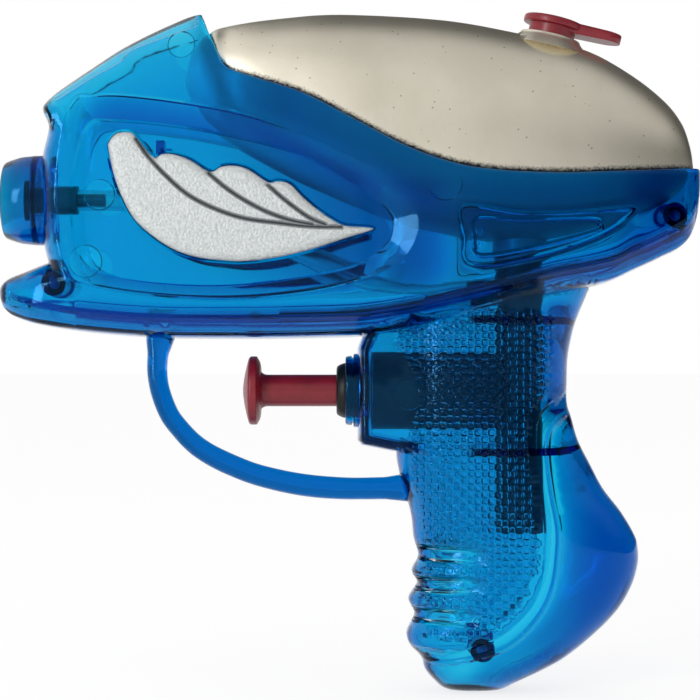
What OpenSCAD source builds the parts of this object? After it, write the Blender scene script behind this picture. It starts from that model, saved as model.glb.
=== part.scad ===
// Toy water squirter: two clear shells, a tank on top, a push pump in the grip and a nozzle in the muzzle.
// Millimetres. The muzzle points to -X, the left side faces -Y, the grip stands on Z = 0.

/* [Body shells] */
// length from fin tip to rear end
body_length = 150; // [146:1:156]
// width across both shells at the tank
body_width = 35; // [33:0.5:39]
// thickness of the shell walls
wall = 1.6; // [1.4:0.1:1.9]
// width across both shells at the grip
grip_width = 25; // [24:0.5:28]
// depth of the dish that holds the wing ornament
dish_depth = 0.6; // [0.4:0.1:0.8]
// depth of the rear triangle and of the finger slots
relief_depth = 0.7; // [0.4:0.1:0.9]
// width of the trigger guard across both shells
guard_width = 5.4; // [5:0.2:8]
// thickness of the two inner ribs of each half
rib_t = 1.6; // [1.2:0.1:2.2]

/* [Muzzle] */
// height of the nozzle axis
nozzle_z = 105.2; // [103:0.2:107]
// outer diameter of the muzzle ring
muzzle_d = 19; // [17:0.5:21]
// diameter of the recess in the muzzle
muzzle_bore = 14.6; // [12:0.2:15.4]
// depth of the recess in the muzzle
muzzle_depth = 6.6; // [6:0.2:7.4]
// thickness of the recess floor
muzzle_floor = 2; // [1.6:0.1:2.4]

/* [Nozzle] */
// diameter of the nozzle body
nozzle_d = 6.1; // [5.6:0.1:6.8]
// length of the nozzle body behind the recess floor
nozzle_length = 7; // [6.6:0.1:8]
// chamber diameter inside the nozzle body
nozzle_chamber = 3.8; // [3.6:0.1:4.2]
// length of the nozzle chamber behind the recess floor
nozzle_chamber_length = 5.2; // [5:0.1:5.6]
// diameter of the jet plate
jet_plate_d = 8.6; // [7:0.2:10]
// thickness of the jet plate
jet_plate_t = 1.6; // [1.2:0.1:2]
// diameter of the jet hole
jet_hole = 1.2; // [0.8:0.1:1.6]
// diameter of the outlet ball
outlet_ball_d = 3; // [2.6:0.1:3.2]

/* [Hose] */
// outer diameter of the hose
hose_d = 4.4; // [4:0.1:5]
// diameter of the spigots the hose is pushed on
hose_spigot = 2.8; // [2.4:0.1:3]
// length of each hose spigot
hose_spigot_length = 6; // [4:0.5:8]

/* [Tank] */
// thickness of the tank wall
tank_wall = 1.5; // [1.2:0.1:2]
// height of the top of the tank
tank_top = 144.9; // [142:0.5:146]
// height of the face around the tank outlet
tank_outlet_z = 93; // [92:0.2:94]
// diameter of the tank outlet
tank_outlet_d = 7.8; // [7:0.2:9]
// wall of the boss around the tank outlet
tank_outlet_wall = 2; // [1.6:0.1:2.4]
// height of the boss around the tank outlet
tank_outlet_boss = 6; // [5:0.2:7]
// outer diameter of the filler neck
neck_d = 12; // [11:0.2:12.6]
// bore of the filler neck
neck_bore = 8; // [7:0.2:8.4]
// height of the neck above the tank
neck_rise = 2; // [1.6:0.1:2.6]
// lean of the neck towards the rear
neck_lean = 13.6; // [10:0.2:16]
// neck distance ahead of the rear end
neck_setback = 32; // [31:0.2:33]

/* [Filler cap] */
// diameter of the cap disc
cap_d = 13; // [12:0.5:15]
// thickness of the cap disc
cap_t = 2.6; // [2:0.1:3]
// length of the plug in the neck
cap_plug = 7; // [5:0.5:8]
// how far the pull tab reaches from the cap axis
cap_tab = 14.8; // [13:0.2:16]
// width of the pull tab
cap_tab_w = 7.4; // [6:0.2:9]

/* [Pump] */
// height of the pump axis
pump_z = 64.4; // [63.4:0.2:65.4]
// outer diameter of the pump cylinder
pump_d = 16.6; // [15.6:0.2:17.4]
// bore of the pump cylinder
pump_bore = 13; // [12:0.2:13.6]
// room kept behind the piston for the squeezed spring
spring_room = 4.5; // [4:0.1:5]
// thickness of the pump end wall
pump_end = 2; // [1.6:0.1:2.4]
// front face of the trigger block
block_x = 1.7; // [1:0.1:2.4]
// thickness of the block front wall
block_wall = 2; // [1.6:0.1:2.4]
// outer diameter of the collar around the gland
collar_d = 15.2; // [14.4:0.2:16]
// length of the collar ahead of the block
collar_length = 1.6; // [1.2:0.1:2.4]
// diameter of the gland ahead of the cylinder
gland_d = 11.8; // [11:0.2:12.2]
// how far the gland stands ahead of the block
gland_out = 4.5; // [3.6:0.1:5]
// length of the gland inside the cylinder
gland_in = 4; // [3:0.2:5]
// diameter of the pump spigot that enters the valve column
pump_spigot = 4.8; // [4:0.1:5.2]

/* [Trigger] */
// diameter of the trigger button
button_d = 14.6; // [13:0.2:16]
// thickness of the trigger button at its rim
button_t = 2; // [1.6:0.1:3]
// rise of the rounded front of the button
button_dome = 1.7; // [1:0.1:2.4]
// diameter of the plunger rod
rod_d = 6.8; // [6:0.1:7.4]
// free rod length between button and gland at rest
rod_free = 16.4; // [15:0.2:18]
// how far the trigger travels
trigger_travel = 12; // [10.5:0.1:12.5]
// piston length
piston_length = 4.6; // [4:0.2:5]
// diameter of the rod end inside the piston
rod_end_d = 4.4; // [4:0.1:4.8]
// section diameter of the piston ring
ring_d = 1.8; // [1.6:0.1:2]
// wire of the return spring
spring_wire = 0.8; // [0.6:0.05:0.9]
// outside diameter of the return spring
spring_d = 10; // [9:0.2:11]

/* [Valve column] */
// distance of the column axis behind the frame centre
valve_x = 36.6; // [36.4:0.1:37]
// diameter of the valve column
valve_d = 10; // [9.2:0.1:10.4]
// height of the foot of the column
valve_foot = 34; // [32:0.5:38]
// bore of the valve chamber
valve_chamber = 6; // [5.6:0.1:6.4]
// depth of the valve chamber
valve_depth = 8; // [7.6:0.1:8.6]
// diameter of the inlet ball
inlet_ball_d = 4.4; // [4:0.1:4.8]
// diameter of the inlet spigot in the grommet
inlet_spigot_d = 5.2; // [4.6:0.1:5.6]
// thickness of the inlet spigot flange
inlet_flange_t = 1.5; // [1.2:0.1:1.8]
// thickness of the grommet flange
grommet_flange_t = 1.6; // [1.2:0.1:2]

/* [Screws] */
// screw thread diameter
screw_d = 2.4; // [2:0.1:2.8]
// screw head diameter
screw_head_d = 4.6; // [4:0.1:5]
// screw head height
screw_head_t = 1.6; // [1.2:0.1:1.8]
// screw length under the head
screw_length = 9; // [8:0.5:10]
// diameter of the screw bosses
boss_d = 7; // [6.4:0.2:7.6]

/* [Fits] */
// radial clearance of parts that slide
slide_fit = 0.05; // [0.03:0.01:0.08]
// radial clearance of parts that are pushed together
push_fit = 0.03; // [0.02:0.01:0.05]
// gap between tank and shells
tank_fit = 0.3; // [0.2:0.05:0.5]

/* [Hidden] */
$fn = 40;

nose_x = -body_length / 2;
rear_x = body_length / 2;
front_x = nose_x + 11.8;
half = body_width / 2;

// A smooth curve through control points, read at one place.
function span(p, x, i = 0) = (i >= len(p) - 2 || x <= p[i + 1][0]) ? i : span(p, x, i + 1);
function slope(p, i) =
    let (a = max(0, i - 1), b = min(len(p) - 1, i + 1))
    (p[b][1] - p[a][1]) / (p[b][0] - p[a][0]);
function curve(p, x) =
    let (i = span(p, x), a = p[i], b = p[i + 1], h = b[0] - a[0], t = max(0, min(1, (x - a[0]) / h)))
    a[1] * (2 * t * t * t - 3 * t * t + 1) + slope(p, i) * h * (t * t * t - 2 * t * t + t)
    + b[1] * (3 * t * t - 2 * t * t * t) + slope(p, i + 1) * h * (t * t * t - t * t);
function spow(v, e) = sign(v) * pow(abs(v), e);

// A closed smooth outline through a few points.
function closed_curve(p, steps) = let (n = len(p)) [for (i = [0:n - 1], s = [0:steps - 1])
    let (t = s / steps, a = p[(i + n - 1) % n], b = p[i], c = p[(i + 1) % n], d = p[(i + 2) % n])
    0.5 * (2 * b + (c - a) * t + (2 * a - 5 * b + 4 * c - d) * t * t + (3 * b - a - 3 * c + d) * t * t * t)];

// A solid skinned over rings of points.
module loft(rings) {
    n = len(rings[0]);
    m = len(rings);
    polyhedron(points = [for (r = rings) for (p = r) p], faces = concat(
        [[for (j = [0:n - 1]) j]],
        [[for (j = [0:n - 1]) (m - 1) * n + n - 1 - j]],
        [for (i = [0:m - 2], j = [0:n - 1]) [i * n + j, (i + 1) * n + j, (i + 1) * n + (j + 1) % n]],
        [for (i = [0:m - 2], j = [0:n - 1]) [i * n + j, (i + 1) * n + (j + 1) % n, i * n + (j + 1) % n]]),
        convexity = 8);
}

// A turned piece on an axis along X, from [x, radius] pairs.
module turned(profile) {
    rotate([0, 90, 0]) rotate_extrude() polygon([for (p = profile) [p[1], p[0]]]);
}

module rod_x(x0, x1, d, z = 0) {
    translate([x0, 0, z]) rotate([0, 90, 0]) cylinder(h = x1 - x0, d = d);
}

// Side view of the body: keel below, fin and fairing above, and half the width.
keel_pts = [[nose_x, 84.8], [nose_x + 1.4, 82], [nose_x + 3.6, 80.2], [nose_x + 9, 78.4], [nose_x + 21.5, 76.6],
    [nose_x + 39, 75.5], [0, 75.8], [11, 77.2], [22, 79.6], [32.5, 82.3], [43, 84.9], [rear_x - 20.6, 87.3],
    [rear_x - 14.8, 89.9], [rear_x - 9.2, 92.5], [rear_x - 3.8, 95.6], [rear_x - 1.5, 100.2],
    [rear_x - 0.4, 105], [rear_x, 108.5]];
fin_pts = [[nose_x, 86.4], [nose_x + 2, 88.3], [nose_x + 5.6, 89.8], [front_x, 92.2]];
fair_pts = [[front_x, 126], [nose_x + 13.2, 128], [nose_x + 19.3, 132.7], [nose_x + 27.3, 138], [nose_x + 38.2, 143.3],
    [nose_x + 43.4, 145], [0, 148], [rear_x - 30, 142], [rear_x - 8, 127], [rear_x, 115]];
wide_pts = [[nose_x, half - 12.5], [nose_x + 2, half - 9.5], [nose_x + 6, half - 6.9], [front_x, half - 5.3],
    [front_x + 22, half - 3.5], [front_x + 43, half - 1.8], [front_x + 60, half - 0.4], [5, half], [28, half],
    [45, half - 0.8], [rear_x - 15, half - 2.6], [rear_x - 5, half - 5.2], [rear_x - 1.5, half - 7],
    [rear_x, half - 9]];
crown_pts = [[front_x, 7], [nose_x + 19, 11], [nose_x + 30, 17], [nose_x + 43, 22], [0, 26], [rear_x - 8, 14],
    [rear_x, 3]];
seam_pts = [[nose_x + 43, 146], [nose_x + 44.2, 142.5], [nose_x + 46.5, 137.5], [nose_x + 48.5, 133],
    [nose_x + 51, 131.4], [nose_x + 55, 130], [-10, 126.7], [0, 121.6], [10.6, 116], [19, 112.7], [27, 110.9],
    [41, 110], [56, 110.4], [rear_x + 1, 111.4]];

function body_ring(s, x, d) =
    let (fin = s < front_x, zk = curve(keel_pts, s) + d, zt = (fin ? curve(fin_pts, s) : curve(fair_pts, s)) - d,
        w = curve(wide_pts, s) - d, rise = zt - zk,
        bevel = min(5.6, 0.35 * rise), crown = fin ? 0.45 * rise : min(curve(crown_pts, s) - d, 0.6 * rise),
        side = concat([[0.5 * w, zk + 0.28 * bevel], [0.84 * w, zk + 0.68 * bevel],
            [0.95 * w, zk + 0.92 * bevel], [w, zk + 1.3 * bevel]],
            [for (t = [0:15:75]) [w * pow(cos(t), 0.82), zt - crown + crown * pow(sin(t), 0.82)]]), n = len(side))
    concat([[x, 0, zk]], [for (p = side) [x, p[0], p[1]]], [[x, 0, zt]],
        [for (i = [n - 1:-1:0]) [x, -side[i][0], side[i][1]]]);

body_steps = concat([for (t = [0, 1, 2, 3.5, 5.6, 8, 11.78, 11.8, 13.2, 15.8, 19.3, 23, 27.3, 33, 38.2, 42, 45, 50, 55,
    60, 66]) nose_x + t], [0, 8, 16, 24, 32, 40], [for (t = [28, 22, 17, 13, 9.2, 6.4, 4.4, 3, 1.9, 1.1, 0.5, 0])
    rear_x - t]);

module body_form() {
    loft([for (s = body_steps) body_ring(s, s, 0)]);
}

module body_inside(d) {
    k = 1 - 2 * d / body_length;
    loft([for (s = body_steps) if (s > nose_x + 3 && s < rear_x - 0.3) body_ring(s, s * k, d)]);
}

// Side view of the grip: front edge, rear edge and half the width against height.
grip_front = [[0, 23], [0.6, 20.4], [2.2, 18.3], [4.7, 16.2], [7.3, 15.4], [10, 12.9], [12.5, 12.2], [14.8, 13.2],
    [16.8, 13.9], [19.8, 12.6], [22, 13.8], [23.4, 14.5], [25.8, 13.3], [29, 14.7], [33, 13.7], [37, 13.3], [41, 12.4],
    [44, 11.4], [48, 10.4], [51, 10], [90, 10]];
grip_rear = [[0, 31.5], [0.6, 33.2], [2.2, 36.2], [4.7, 41.5], [7.3, 46.2], [12.5, 52.7], [17.6, 57.6], [22.8, 60.6],
    [27.5, 61.9], [30.5, 61.9], [33.1, 61.3], [38.3, 58.3], [43.4, 54.4], [48.6, 51.6], [53.8, 49], [58.9, 47.5],
    [61.5, 46.7], [66.7, 46.6], [71.8, 46.8], [77, 47.8], [79.6, 48.6], [84, 50.4], [90, 53]];
grip_half = grip_width / 2;
grip_wide = [[0, grip_half - 8], [1.2, grip_half - 5.4], [3.5, grip_half - 3], [7.3, grip_half - 1.5],
    [15, grip_half - 0.4], [30, grip_half], [60, grip_half], [90, grip_half + 0.5]];
grip_steps = [0, 0.6, 1.4, 2.8, 4.7, 7.3, 10, 12.5, 14.8, 16.8, 19.8, 21.6, 23.4, 25.8, 29, 33, 37, 41, 46, 51, 56, 60,
    64, 70, 76, 82, 90];

function grip_ring(z, zz, d) =
    let (f = curve(grip_front, z) + d, r = curve(grip_rear, z) - d, w = curve(grip_wide, z) - d,
        c = (f + r) / 2, a = (r - f) / 2)
    [for (t = [0:15:345]) [c + a * spow(cos(t), 0.8), w * spow(sin(t), 0.8), zz]];

module grip_form() {
    loft([for (z = grip_steps) grip_ring(z, z, 0)]);
}

module grip_inside(d) {
    loft([for (z = grip_steps) if (z > 1) grip_ring(z, d + (z - 1.4) * (90 - d) / 88.6, d)]);
}

// The block in front of the grip that carries the pump.
block_pts = [[block_x + 1, 80], [block_x + 1, 76], [block_x, 73.6], [block_x, 53.8], [block_x + 0.9, 52.8], [9.6, 51.4],
    [22, 50], [22, 80]];
block_half = pump_d / 2 + wall + 0.6;

module block_form() {
    rotate([90, 0, 0]) linear_extrude(height = 2 * block_half, center = true) polygon(block_pts);
}

module block_hollow() {
    translate([block_x + block_wall, -block_half + wall, 54.6])
        cube([20, 2 * block_half - 2 * wall, 25]);
}

// The trigger guard, swept along its centre line.
guard_pts = [[-40.4, 78], [-41.2, 71.8], [-41.3, 68], [-40.6, 64], [-38.7, 59.2], [-36.3, 56], [-33.4, 53],
    [-29.9, 50.6], [-24.7, 48.1], [-19.2, 46.1], [-10.5, 44.2], [-1.9, 43.4], [6.7, 43.4], [13, 43.6]];
guard_high = [3.6, 2.25, 2.1, 2.1, 2.1, 2.2, 2.3, 2.3, 2.35, 2.4, 2.4, 2.35, 2.4, 3.2];
guard_half = guard_width / 2;

function guard_ring(i) =
    let (n = len(guard_pts), a = guard_pts[max(0, i - 1)], b = guard_pts[min(n - 1, i + 1)],
        d = (b - a) / norm(b - a), u = [-d[1], d[0]], p = guard_pts[i], h = guard_high[i])
    [for (t = [0:30:330]) let (v = h * spow(cos(t), 0.7), w = guard_half * spow(sin(t), 0.7))
        [p[0] + u[0] * v, -w, p[1] + u[1] * v]];

module guard_form() {
    loft([for (i = [0:len(guard_pts) - 1]) guard_ring(i)]);
}

// Screw bosses, ribs and the places they share with the screws.
screws = [[nose_x + 13, 87], [rear_x - 7, 101.5], [28, 10]];
screw_seat = 1.5;
rib_z = [51.6, 79.6];

module boss_bars() {
    for (p = screws) translate([p[0], 0, p[1]]) rotate([90, 0, 0])
        cylinder(h = body_width + 4, d = boss_d, center = true);
}

module rib_plates() {
    for (z = rib_z) difference() {
        translate([valve_x - 11, -body_width / 2, z - rib_t / 2]) cube([24, body_width, rib_t]);
        translate([valve_x, 0, z]) cylinder(h = 4 * rib_t, d = valve_d + 2 * tank_fit, center = true);
    }
}

muzzle_x = nose_x + 1;
floor_x = muzzle_x + muzzle_depth;
floor_back = floor_x + muzzle_floor;
block_back = block_x + block_wall;

// The dish is cut square to the flat side of the body.
side_turn = atan(2.8 / 43);
dish_x = front_x + 43;
dish_y = half - 1.8;
dish_z = nozzle_z - 5.2;
dish_pts = [[-38.8, 24], [-33.8, 26.5], [-25.4, 26.5], [-10.8, 24.4], [1.6, 21.5], [16.2, 15.7], [27.6, 9.4],
    [32.8, 4.3], [34.6, -0.9], [32.8, -6.1], [28.6, -10], [16.2, -14.2], [-0.5, -16.3], [-17.1, -16], [-33.7, -13.6],
    [-39.8, -10], [-41.3, 5]];

module on_side(s) {
    translate([dish_x, s * dish_y, dish_z]) rotate([0, 0, s * side_turn]) rotate([90, 0, 0]) children();
}

module dish(s) {
    on_side(s) translate([0, 0, s < 0 ? dish_depth * -1 : -6 + dish_depth])
        linear_extrude(height = 6) polygon(closed_curve(dish_pts, 3));
}

// Shallow relief in both sides: a triangle at the rear and three finger slots in the grip.
triangle_pts = [[24.5, 102.4], [40.4, 101.5], [rear_x - 20.7, 102.1], [rear_x - 18.6, 101.2], [39.4, 94], [25.3, 91.7]];
slot_z = [17, 23.5, 30];
slot_high = 3.2;
slot_x0 = 17;
slot_x1 = 28;

module relief() {
    difference() {
        rotate([90, 0, 0]) linear_extrude(height = body_width + 4, center = true) polygon(triangle_pts);
        body_inside(relief_depth);
    }
    difference() {
        rotate([90, 0, 0]) linear_extrude(height = body_width, center = true) for (z = slot_z) {
            translate([slot_x0, z - slot_high / 2]) square([slot_x1 - slot_high / 2 - slot_x0, slot_high]);
            translate([slot_x1 - slot_high / 2, z]) circle(d = slot_high);
        }
        grip_inside(relief_depth);
    }
}

module shell(s) {
    difference() {
        union() {
            difference() {
                union() {
                    body_form();
                    grip_form();
                    block_form();
                }
                difference() {
                    union() {
                        body_inside(wall);
                        grip_inside(wall);
                        block_hollow();
                    }
                    boss_bars();
                    rib_plates();
                }
            }
            guard_form();
            rod_x(muzzle_x, front_x + wall, muzzle_d, nozzle_z);
            rod_x(block_x - collar_length, block_back, collar_d, pump_z);
        }
        translate([-100, s < 0 ? 0 : -60, -10]) cube([200, 60, 180]);
        rotate([90, 0, 0]) linear_extrude(height = 80, center = true)
            polygon(concat(seam_pts, [[rear_x + 1, 160], [nose_x + 43, 160]]));
        rod_x(muzzle_x - 1, floor_x, muzzle_bore, nozzle_z);
        rod_x(floor_back, front_x + wall + 1, muzzle_bore, nozzle_z);
        rod_x(floor_x - 1, floor_back + 1, nozzle_chamber + 1.6 + 2 * push_fit, nozzle_z);
        rod_x(block_x - 8, block_back + 1, gland_d + 2 * push_fit, pump_z);
        dish(s);
        relief();
        for (p = screws) translate([p[0], 0, p[1]]) rotate([90, 0, 0]) {
            cylinder(h = 2 * (screw_length - screw_seat), d = screw_d - 2 * push_fit, center = true);
            translate([0, 0, -40]) cylinder(h = 40, d = screw_d + 4 * slide_fit);
            translate([0, 0, -40]) cylinder(h = 40 - screw_seat, d = screw_head_d + 4 * slide_fit);
        }
    }
}

module left_shell() {
    color([0.05, 0.5, 0.85, 0.6]) shell(-1);
}

module right_shell() {
    color([0.05, 0.5, 0.85, 0.6]) shell(1);
}

// Feather ornament: one leaf with four lobes, standing in the dish.
wing_t = 1.2;
wing_pts = [[-31, 16.4], [-29.4, 18.4], [-26.4, 18.6], [-24.6, 17.2], [-21.4, 13.4], [-19.4, 13.8], [-17, 13.8],
    [-13.4, 12.6], [-9.2, 10.2], [-6.6, 11.2], [-3.8, 11.4], [-0.8, 10.6], [3.4, 7.8], [5.6, 8], [8, 7.4],
    [10.8, 4.6], [13.8, 2.2], [16.8, 0.2], [20, -1.2], [25.6, -1.8], [20.2, -3.8], [13, -6], [5.6, -7.6],
    [-1.8, -8.4], [-6.6, -8.2], [-11.4, -7.6], [-16.4, -6], [-21.2, -3], [-25.4, 0.8], [-28.2, 5.6], [-30, 10.6]];

module wing(s) {
    on_side(s) translate([0, 0, s < 0 ? -dish_depth : dish_depth - wing_t]) linear_extrude(height = wing_t)
        polygon(closed_curve(wing_pts, 3));
}

module left_wing() {
    color([0.78, 0.76, 0.72]) wing(-1);
}

module right_wing() {
    color([0.78, 0.76, 0.72]) wing(1);
}

// Tank: an egg over the seam, with a belly between the shells, a filler neck and an outlet.
tank_x0 = nose_x + 40;
tank_x1 = rear_x - 1.6;
roof_pts = [[tank_x0, tank_top - 14], [tank_x0 + 1.2, tank_top - 9.2], [tank_x0 + 3.6, tank_top - 5.6],
    [tank_x0 + 7.4, tank_top - 2.9], [-10.5, tank_top - 0.4], [0, tank_top], [19.6, tank_top - 1.1],
    [32.5, tank_top - 3.2], [rear_x - 25.3, tank_top - 7.3], [rear_x - 16.7, tank_top - 11.6],
    [rear_x - 8.1, tank_top - 18], [rear_x - 3.8, tank_top - 23.4], [rear_x - 2, tank_top - 29],
    [tank_x1, tank_top - 32]];
belly_pts = [[tank_x0, 129.5], [tank_x0 + 1.4, 125.6], [tank_x0 + 5, 120.6], [-18, 113], [0, 104.4], [15, 99],
    [30, 96.4], [45, 97], [rear_x - 16, 100.6], [rear_x - 8, 104.4], [rear_x - 4, 107.4], [tank_x1, 111.5]];
egg_pts = [[tank_x0, 11], [tank_x0 + 1.4, 7.2], [tank_x0 + 5, 3.6], [tank_x0 + 12, 1], [-10, 0.2], [0, 0],
    [rear_x - 26, 0], [rear_x - 16, 0.6], [rear_x - 8, 1.7], [rear_x - 4, 2.9], [rear_x - 2.4, 3.9], [tank_x1, 5.8]];
tank_steps = concat([for (t = [0, 0.5, 1.4, 3, 5, 8, 12, 17, 23, 30]) tank_x0 + t], [0, 9, 18, 26, 34],
    [for (t = [33, 26, 20, 15, 11, 8, 5.6, 4, 2.8, 2]) rear_x - t], [tank_x1]);

function tank_ring(s, x, d) =
    let (zt = curve(roof_pts, s) - d, zb = curve(belly_pts, s) + d,
        w = curve(wide_pts, s) - wall - tank_fit - curve(egg_pts, s) - d,
        zm = max(zb + 0.3 * (zt - zb), min(zt - 0.3 * (zt - zb), curve(seam_pts, s) - 3)))
    [for (t = [-90:15:255]) [x, w * spow(cos(t), 0.84),
        zm + (sin(t) > 0 ? zt - zm : zm - zb) * spow(sin(t), 0.84)]];

module tank_form() {
    loft([for (s = tank_steps) tank_ring(s, s, 0)]);
}

module tank_hollow() {
    c = (tank_x0 + tank_x1) / 2;
    k = 1 - 2 * tank_wall / (tank_x1 - tank_x0);
    loft([for (s = tank_steps) if (s > tank_x0 + 1 && s < tank_x1 - 0.3) tank_ring(s, c + (s - c) * k, tank_wall)]);
}

neck_x = rear_x - neck_setback;
neck_base = curve(roof_pts, neck_x);
neck_top = neck_rise / cos(neck_lean);

module on_neck() {
    translate([neck_x, 0, neck_base]) rotate([0, neck_lean, 0]) children();
}

module tank() {
    color([0.74, 0.72, 0.68]) difference() {
        union() {
            tank_form();
            on_neck() translate([0, 0, -tank_wall]) cylinder(h = neck_top + tank_wall, d = neck_d);
            translate([valve_x, 0, tank_outlet_z])
                cylinder(h = tank_outlet_boss, d = tank_outlet_d + 2 * tank_outlet_wall);
        }
        union() {
            tank_hollow();
            on_neck() translate([0, 0, -8]) cylinder(h = 20, d = neck_bore);
            translate([valve_x, 0, tank_outlet_z - 1]) cylinder(h = 14, d = tank_outlet_d);
        }
    }
}

module tank_grommet() {
    color([0.08, 0.08, 0.09]) difference() {
        union() {
            translate([valve_x, 0, tank_outlet_z - grommet_flange_t])
                cylinder(h = grommet_flange_t, d = tank_outlet_d + 2 * tank_outlet_wall - 0.6);
            translate([valve_x, 0, tank_outlet_z - 0.01])
                cylinder(h = tank_outlet_boss, d = tank_outlet_d - 2 * push_fit);
        }
        translate([valve_x, 0, 0]) cylinder(h = tank_top, d = inlet_spigot_d + 2 * push_fit);
    }
}

// Valve column, its inlet seat, ball and spring.
valve_top = tank_outlet_z - grommet_flange_t - inlet_flange_t;
seat_z = valve_top - 1.6;
seat_bore = 2.6;
ball_z = seat_z - 0.05 - sqrt(pow(inlet_ball_d / 2, 2) - pow(seat_bore / 2, 2));
ledge_z = valve_top - valve_depth;
port_z = valve_top - 4.4;
port_x = valve_x - valve_d / 2 - hose_spigot_length;
socket_x = valve_x - valve_d / 2;
hose_in = hose_spigot + 0.2;

module inlet_spigot() {
    color([0.1, 0.1, 0.11]) difference() {
        union() {
            translate([valve_x, 0, seat_z]) cylinder(h = 2, d = valve_chamber - 2 * push_fit);
            translate([valve_x, 0, valve_top]) cylinder(h = inlet_flange_t, d = valve_d);
            translate([valve_x, 0, valve_top])
                cylinder(h = inlet_flange_t + grommet_flange_t + tank_outlet_boss + 1, d = inlet_spigot_d);
        }
        translate([valve_x, 0, 0]) cylinder(h = tank_top, d = seat_bore);
    }
}

module valve_body() {
    color([0.07, 0.08, 0.09]) difference() {
        union() {
            translate([valve_x, 0, valve_foot]) cylinder(h = valve_top - valve_foot, d = valve_d);
            rod_x(port_x, valve_x, hose_spigot, port_z);
        }
        translate([valve_x, 0, ledge_z]) cylinder(h = 20, d = valve_chamber);
        translate([valve_x, 0, pump_z - 3]) cylinder(h = 40, d = 3.4);
        translate([valve_x, 0, valve_foot - 1]) cylinder(h = 15, d = valve_chamber);
        rod_x(port_x - 1, valve_x, hose_spigot - 1.2, port_z);
        rod_x(socket_x - 1, valve_x, pump_spigot + 2 * push_fit, pump_z);
    }
}

// A coil spring along Z from z0 to z1, with its wire swept round.
module coil(z0, z1, d, wire, turns) {
    steps = 12 * turns;
    r = (d - wire) / 2;
    loft([for (i = [0:steps]) let (a = 30 * i, z = z0 + wire / 2 + (z1 - z0 - wire) * i / steps)
        [for (t = [0:60:300]) [(r + wire / 2 * cos(t)) * cos(a), (r + wire / 2 * cos(t)) * sin(a),
            z + wire / 2 * sin(t)]]]);
}

module inlet_spring() {
    color([0.7, 0.7, 0.72]) translate([valve_x, 0, 0])
        coil(ledge_z, ball_z - 0.75 * inlet_ball_d / 2, inlet_ball_d - 0.6, 0.35, 4);
}

module inlet_ball() {
    color([0.8, 0.8, 0.82]) translate([valve_x, 0, ball_z]) sphere(d = inlet_ball_d);
}

// Pump cylinder, gland and the plunger with its ring and spring.
pump_front = block_back;
piston_gap = 0.3;
pump_length = gland_in + piston_gap + piston_length + trigger_travel + spring_room + pump_end;
pump_back = pump_front + pump_length;
chamber_x = pump_back - pump_end;
gland_x = block_x - gland_out;
piston_x = pump_front + gland_in + piston_gap;
button_x = gland_x - rod_free;
groove_x = piston_x + piston_length / 2;
groove_r = pump_bore / 2 - slide_fit - ring_d + 0.02;

module pump_cylinder() {
    color([0.07, 0.08, 0.09]) translate([0, 0, pump_z]) difference() {
        union() {
            rod_x(pump_front, pump_back, pump_d);
            rod_x(pump_back - 1, socket_x + 2.6, pump_spigot);
        }
        rod_x(pump_front - 1, chamber_x, pump_bore);
        rod_x(chamber_x - 1, valve_x, pump_spigot - 2.2);
    }
}

module pump_gland() {
    color([0.09, 0.09, 0.1]) translate([0, 0, pump_z]) difference() {
        turned([[gland_x, 0], [gland_x, gland_d / 2 - 0.8], [gland_x + 0.8, gland_d / 2], [pump_front, gland_d / 2],
            [pump_front, pump_bore / 2 - push_fit], [pump_front + gland_in, pump_bore / 2 - push_fit],
            [pump_front + gland_in, 0]]);
        rod_x(gland_x - 1, pump_front + gland_in + 1, rod_d + 2 * slide_fit);
    }
}

module trigger() {
    color([0.75, 0.08, 0.1]) translate([0, 0, pump_z]) turned(concat(
        [for (a = [0:15:90]) [button_x - button_t - button_dome * cos(a), button_d / 2 * sin(a)]],
        [[button_x, button_d / 2 - 0.3], [button_x, rod_d / 2], [piston_x, rod_d / 2],
        [piston_x, rod_end_d / 2], [piston_x + piston_length - 0.6, rod_end_d / 2],
        [piston_x + piston_length - 0.6, 0]]));
}

module piston() {
    color([0.1, 0.1, 0.11]) translate([0, 0, pump_z]) difference() {
        turned([[piston_x, 0], [piston_x, pump_bore / 2 - 0.3], [groove_x - ring_d / 2 - 0.05, pump_bore / 2 - 0.3],
            [groove_x - ring_d / 2 - 0.05, groove_r - 0.02], [groove_x + ring_d / 2 + 0.05, groove_r - 0.02],
            [groove_x + ring_d / 2 + 0.05, pump_bore / 2 - 0.3], [piston_x + piston_length, pump_bore / 2 - 0.3],
            [piston_x + piston_length, 0]]);
        rod_x(piston_x - 1, piston_x + piston_length - 0.6, rod_end_d + 2 * push_fit);
    }
}

module piston_ring() {
    color([0.05, 0.05, 0.05]) translate([groove_x, 0, pump_z]) rotate([0, 90, 0]) rotate_extrude()
        translate([pump_bore / 2 - slide_fit - ring_d / 2, 0]) circle(d = ring_d, $fn = 24);
}

module return_spring() {
    color([0.7, 0.7, 0.72]) translate([0, 0, pump_z]) rotate([0, 90, 0])
        coil(piston_x + piston_length, chamber_x, spring_d, spring_wire, 4);
}

// Nozzle: body behind the muzzle floor, jet plate, ball and spring.
nozzle_back = floor_back + nozzle_length;
nozzle_seat = floor_back + nozzle_chamber_length;
nozzle_port = 1.8;
outlet_x = nozzle_seat - 0.05 - sqrt(pow(outlet_ball_d / 2, 2) - pow(nozzle_port / 2, 2));

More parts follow.
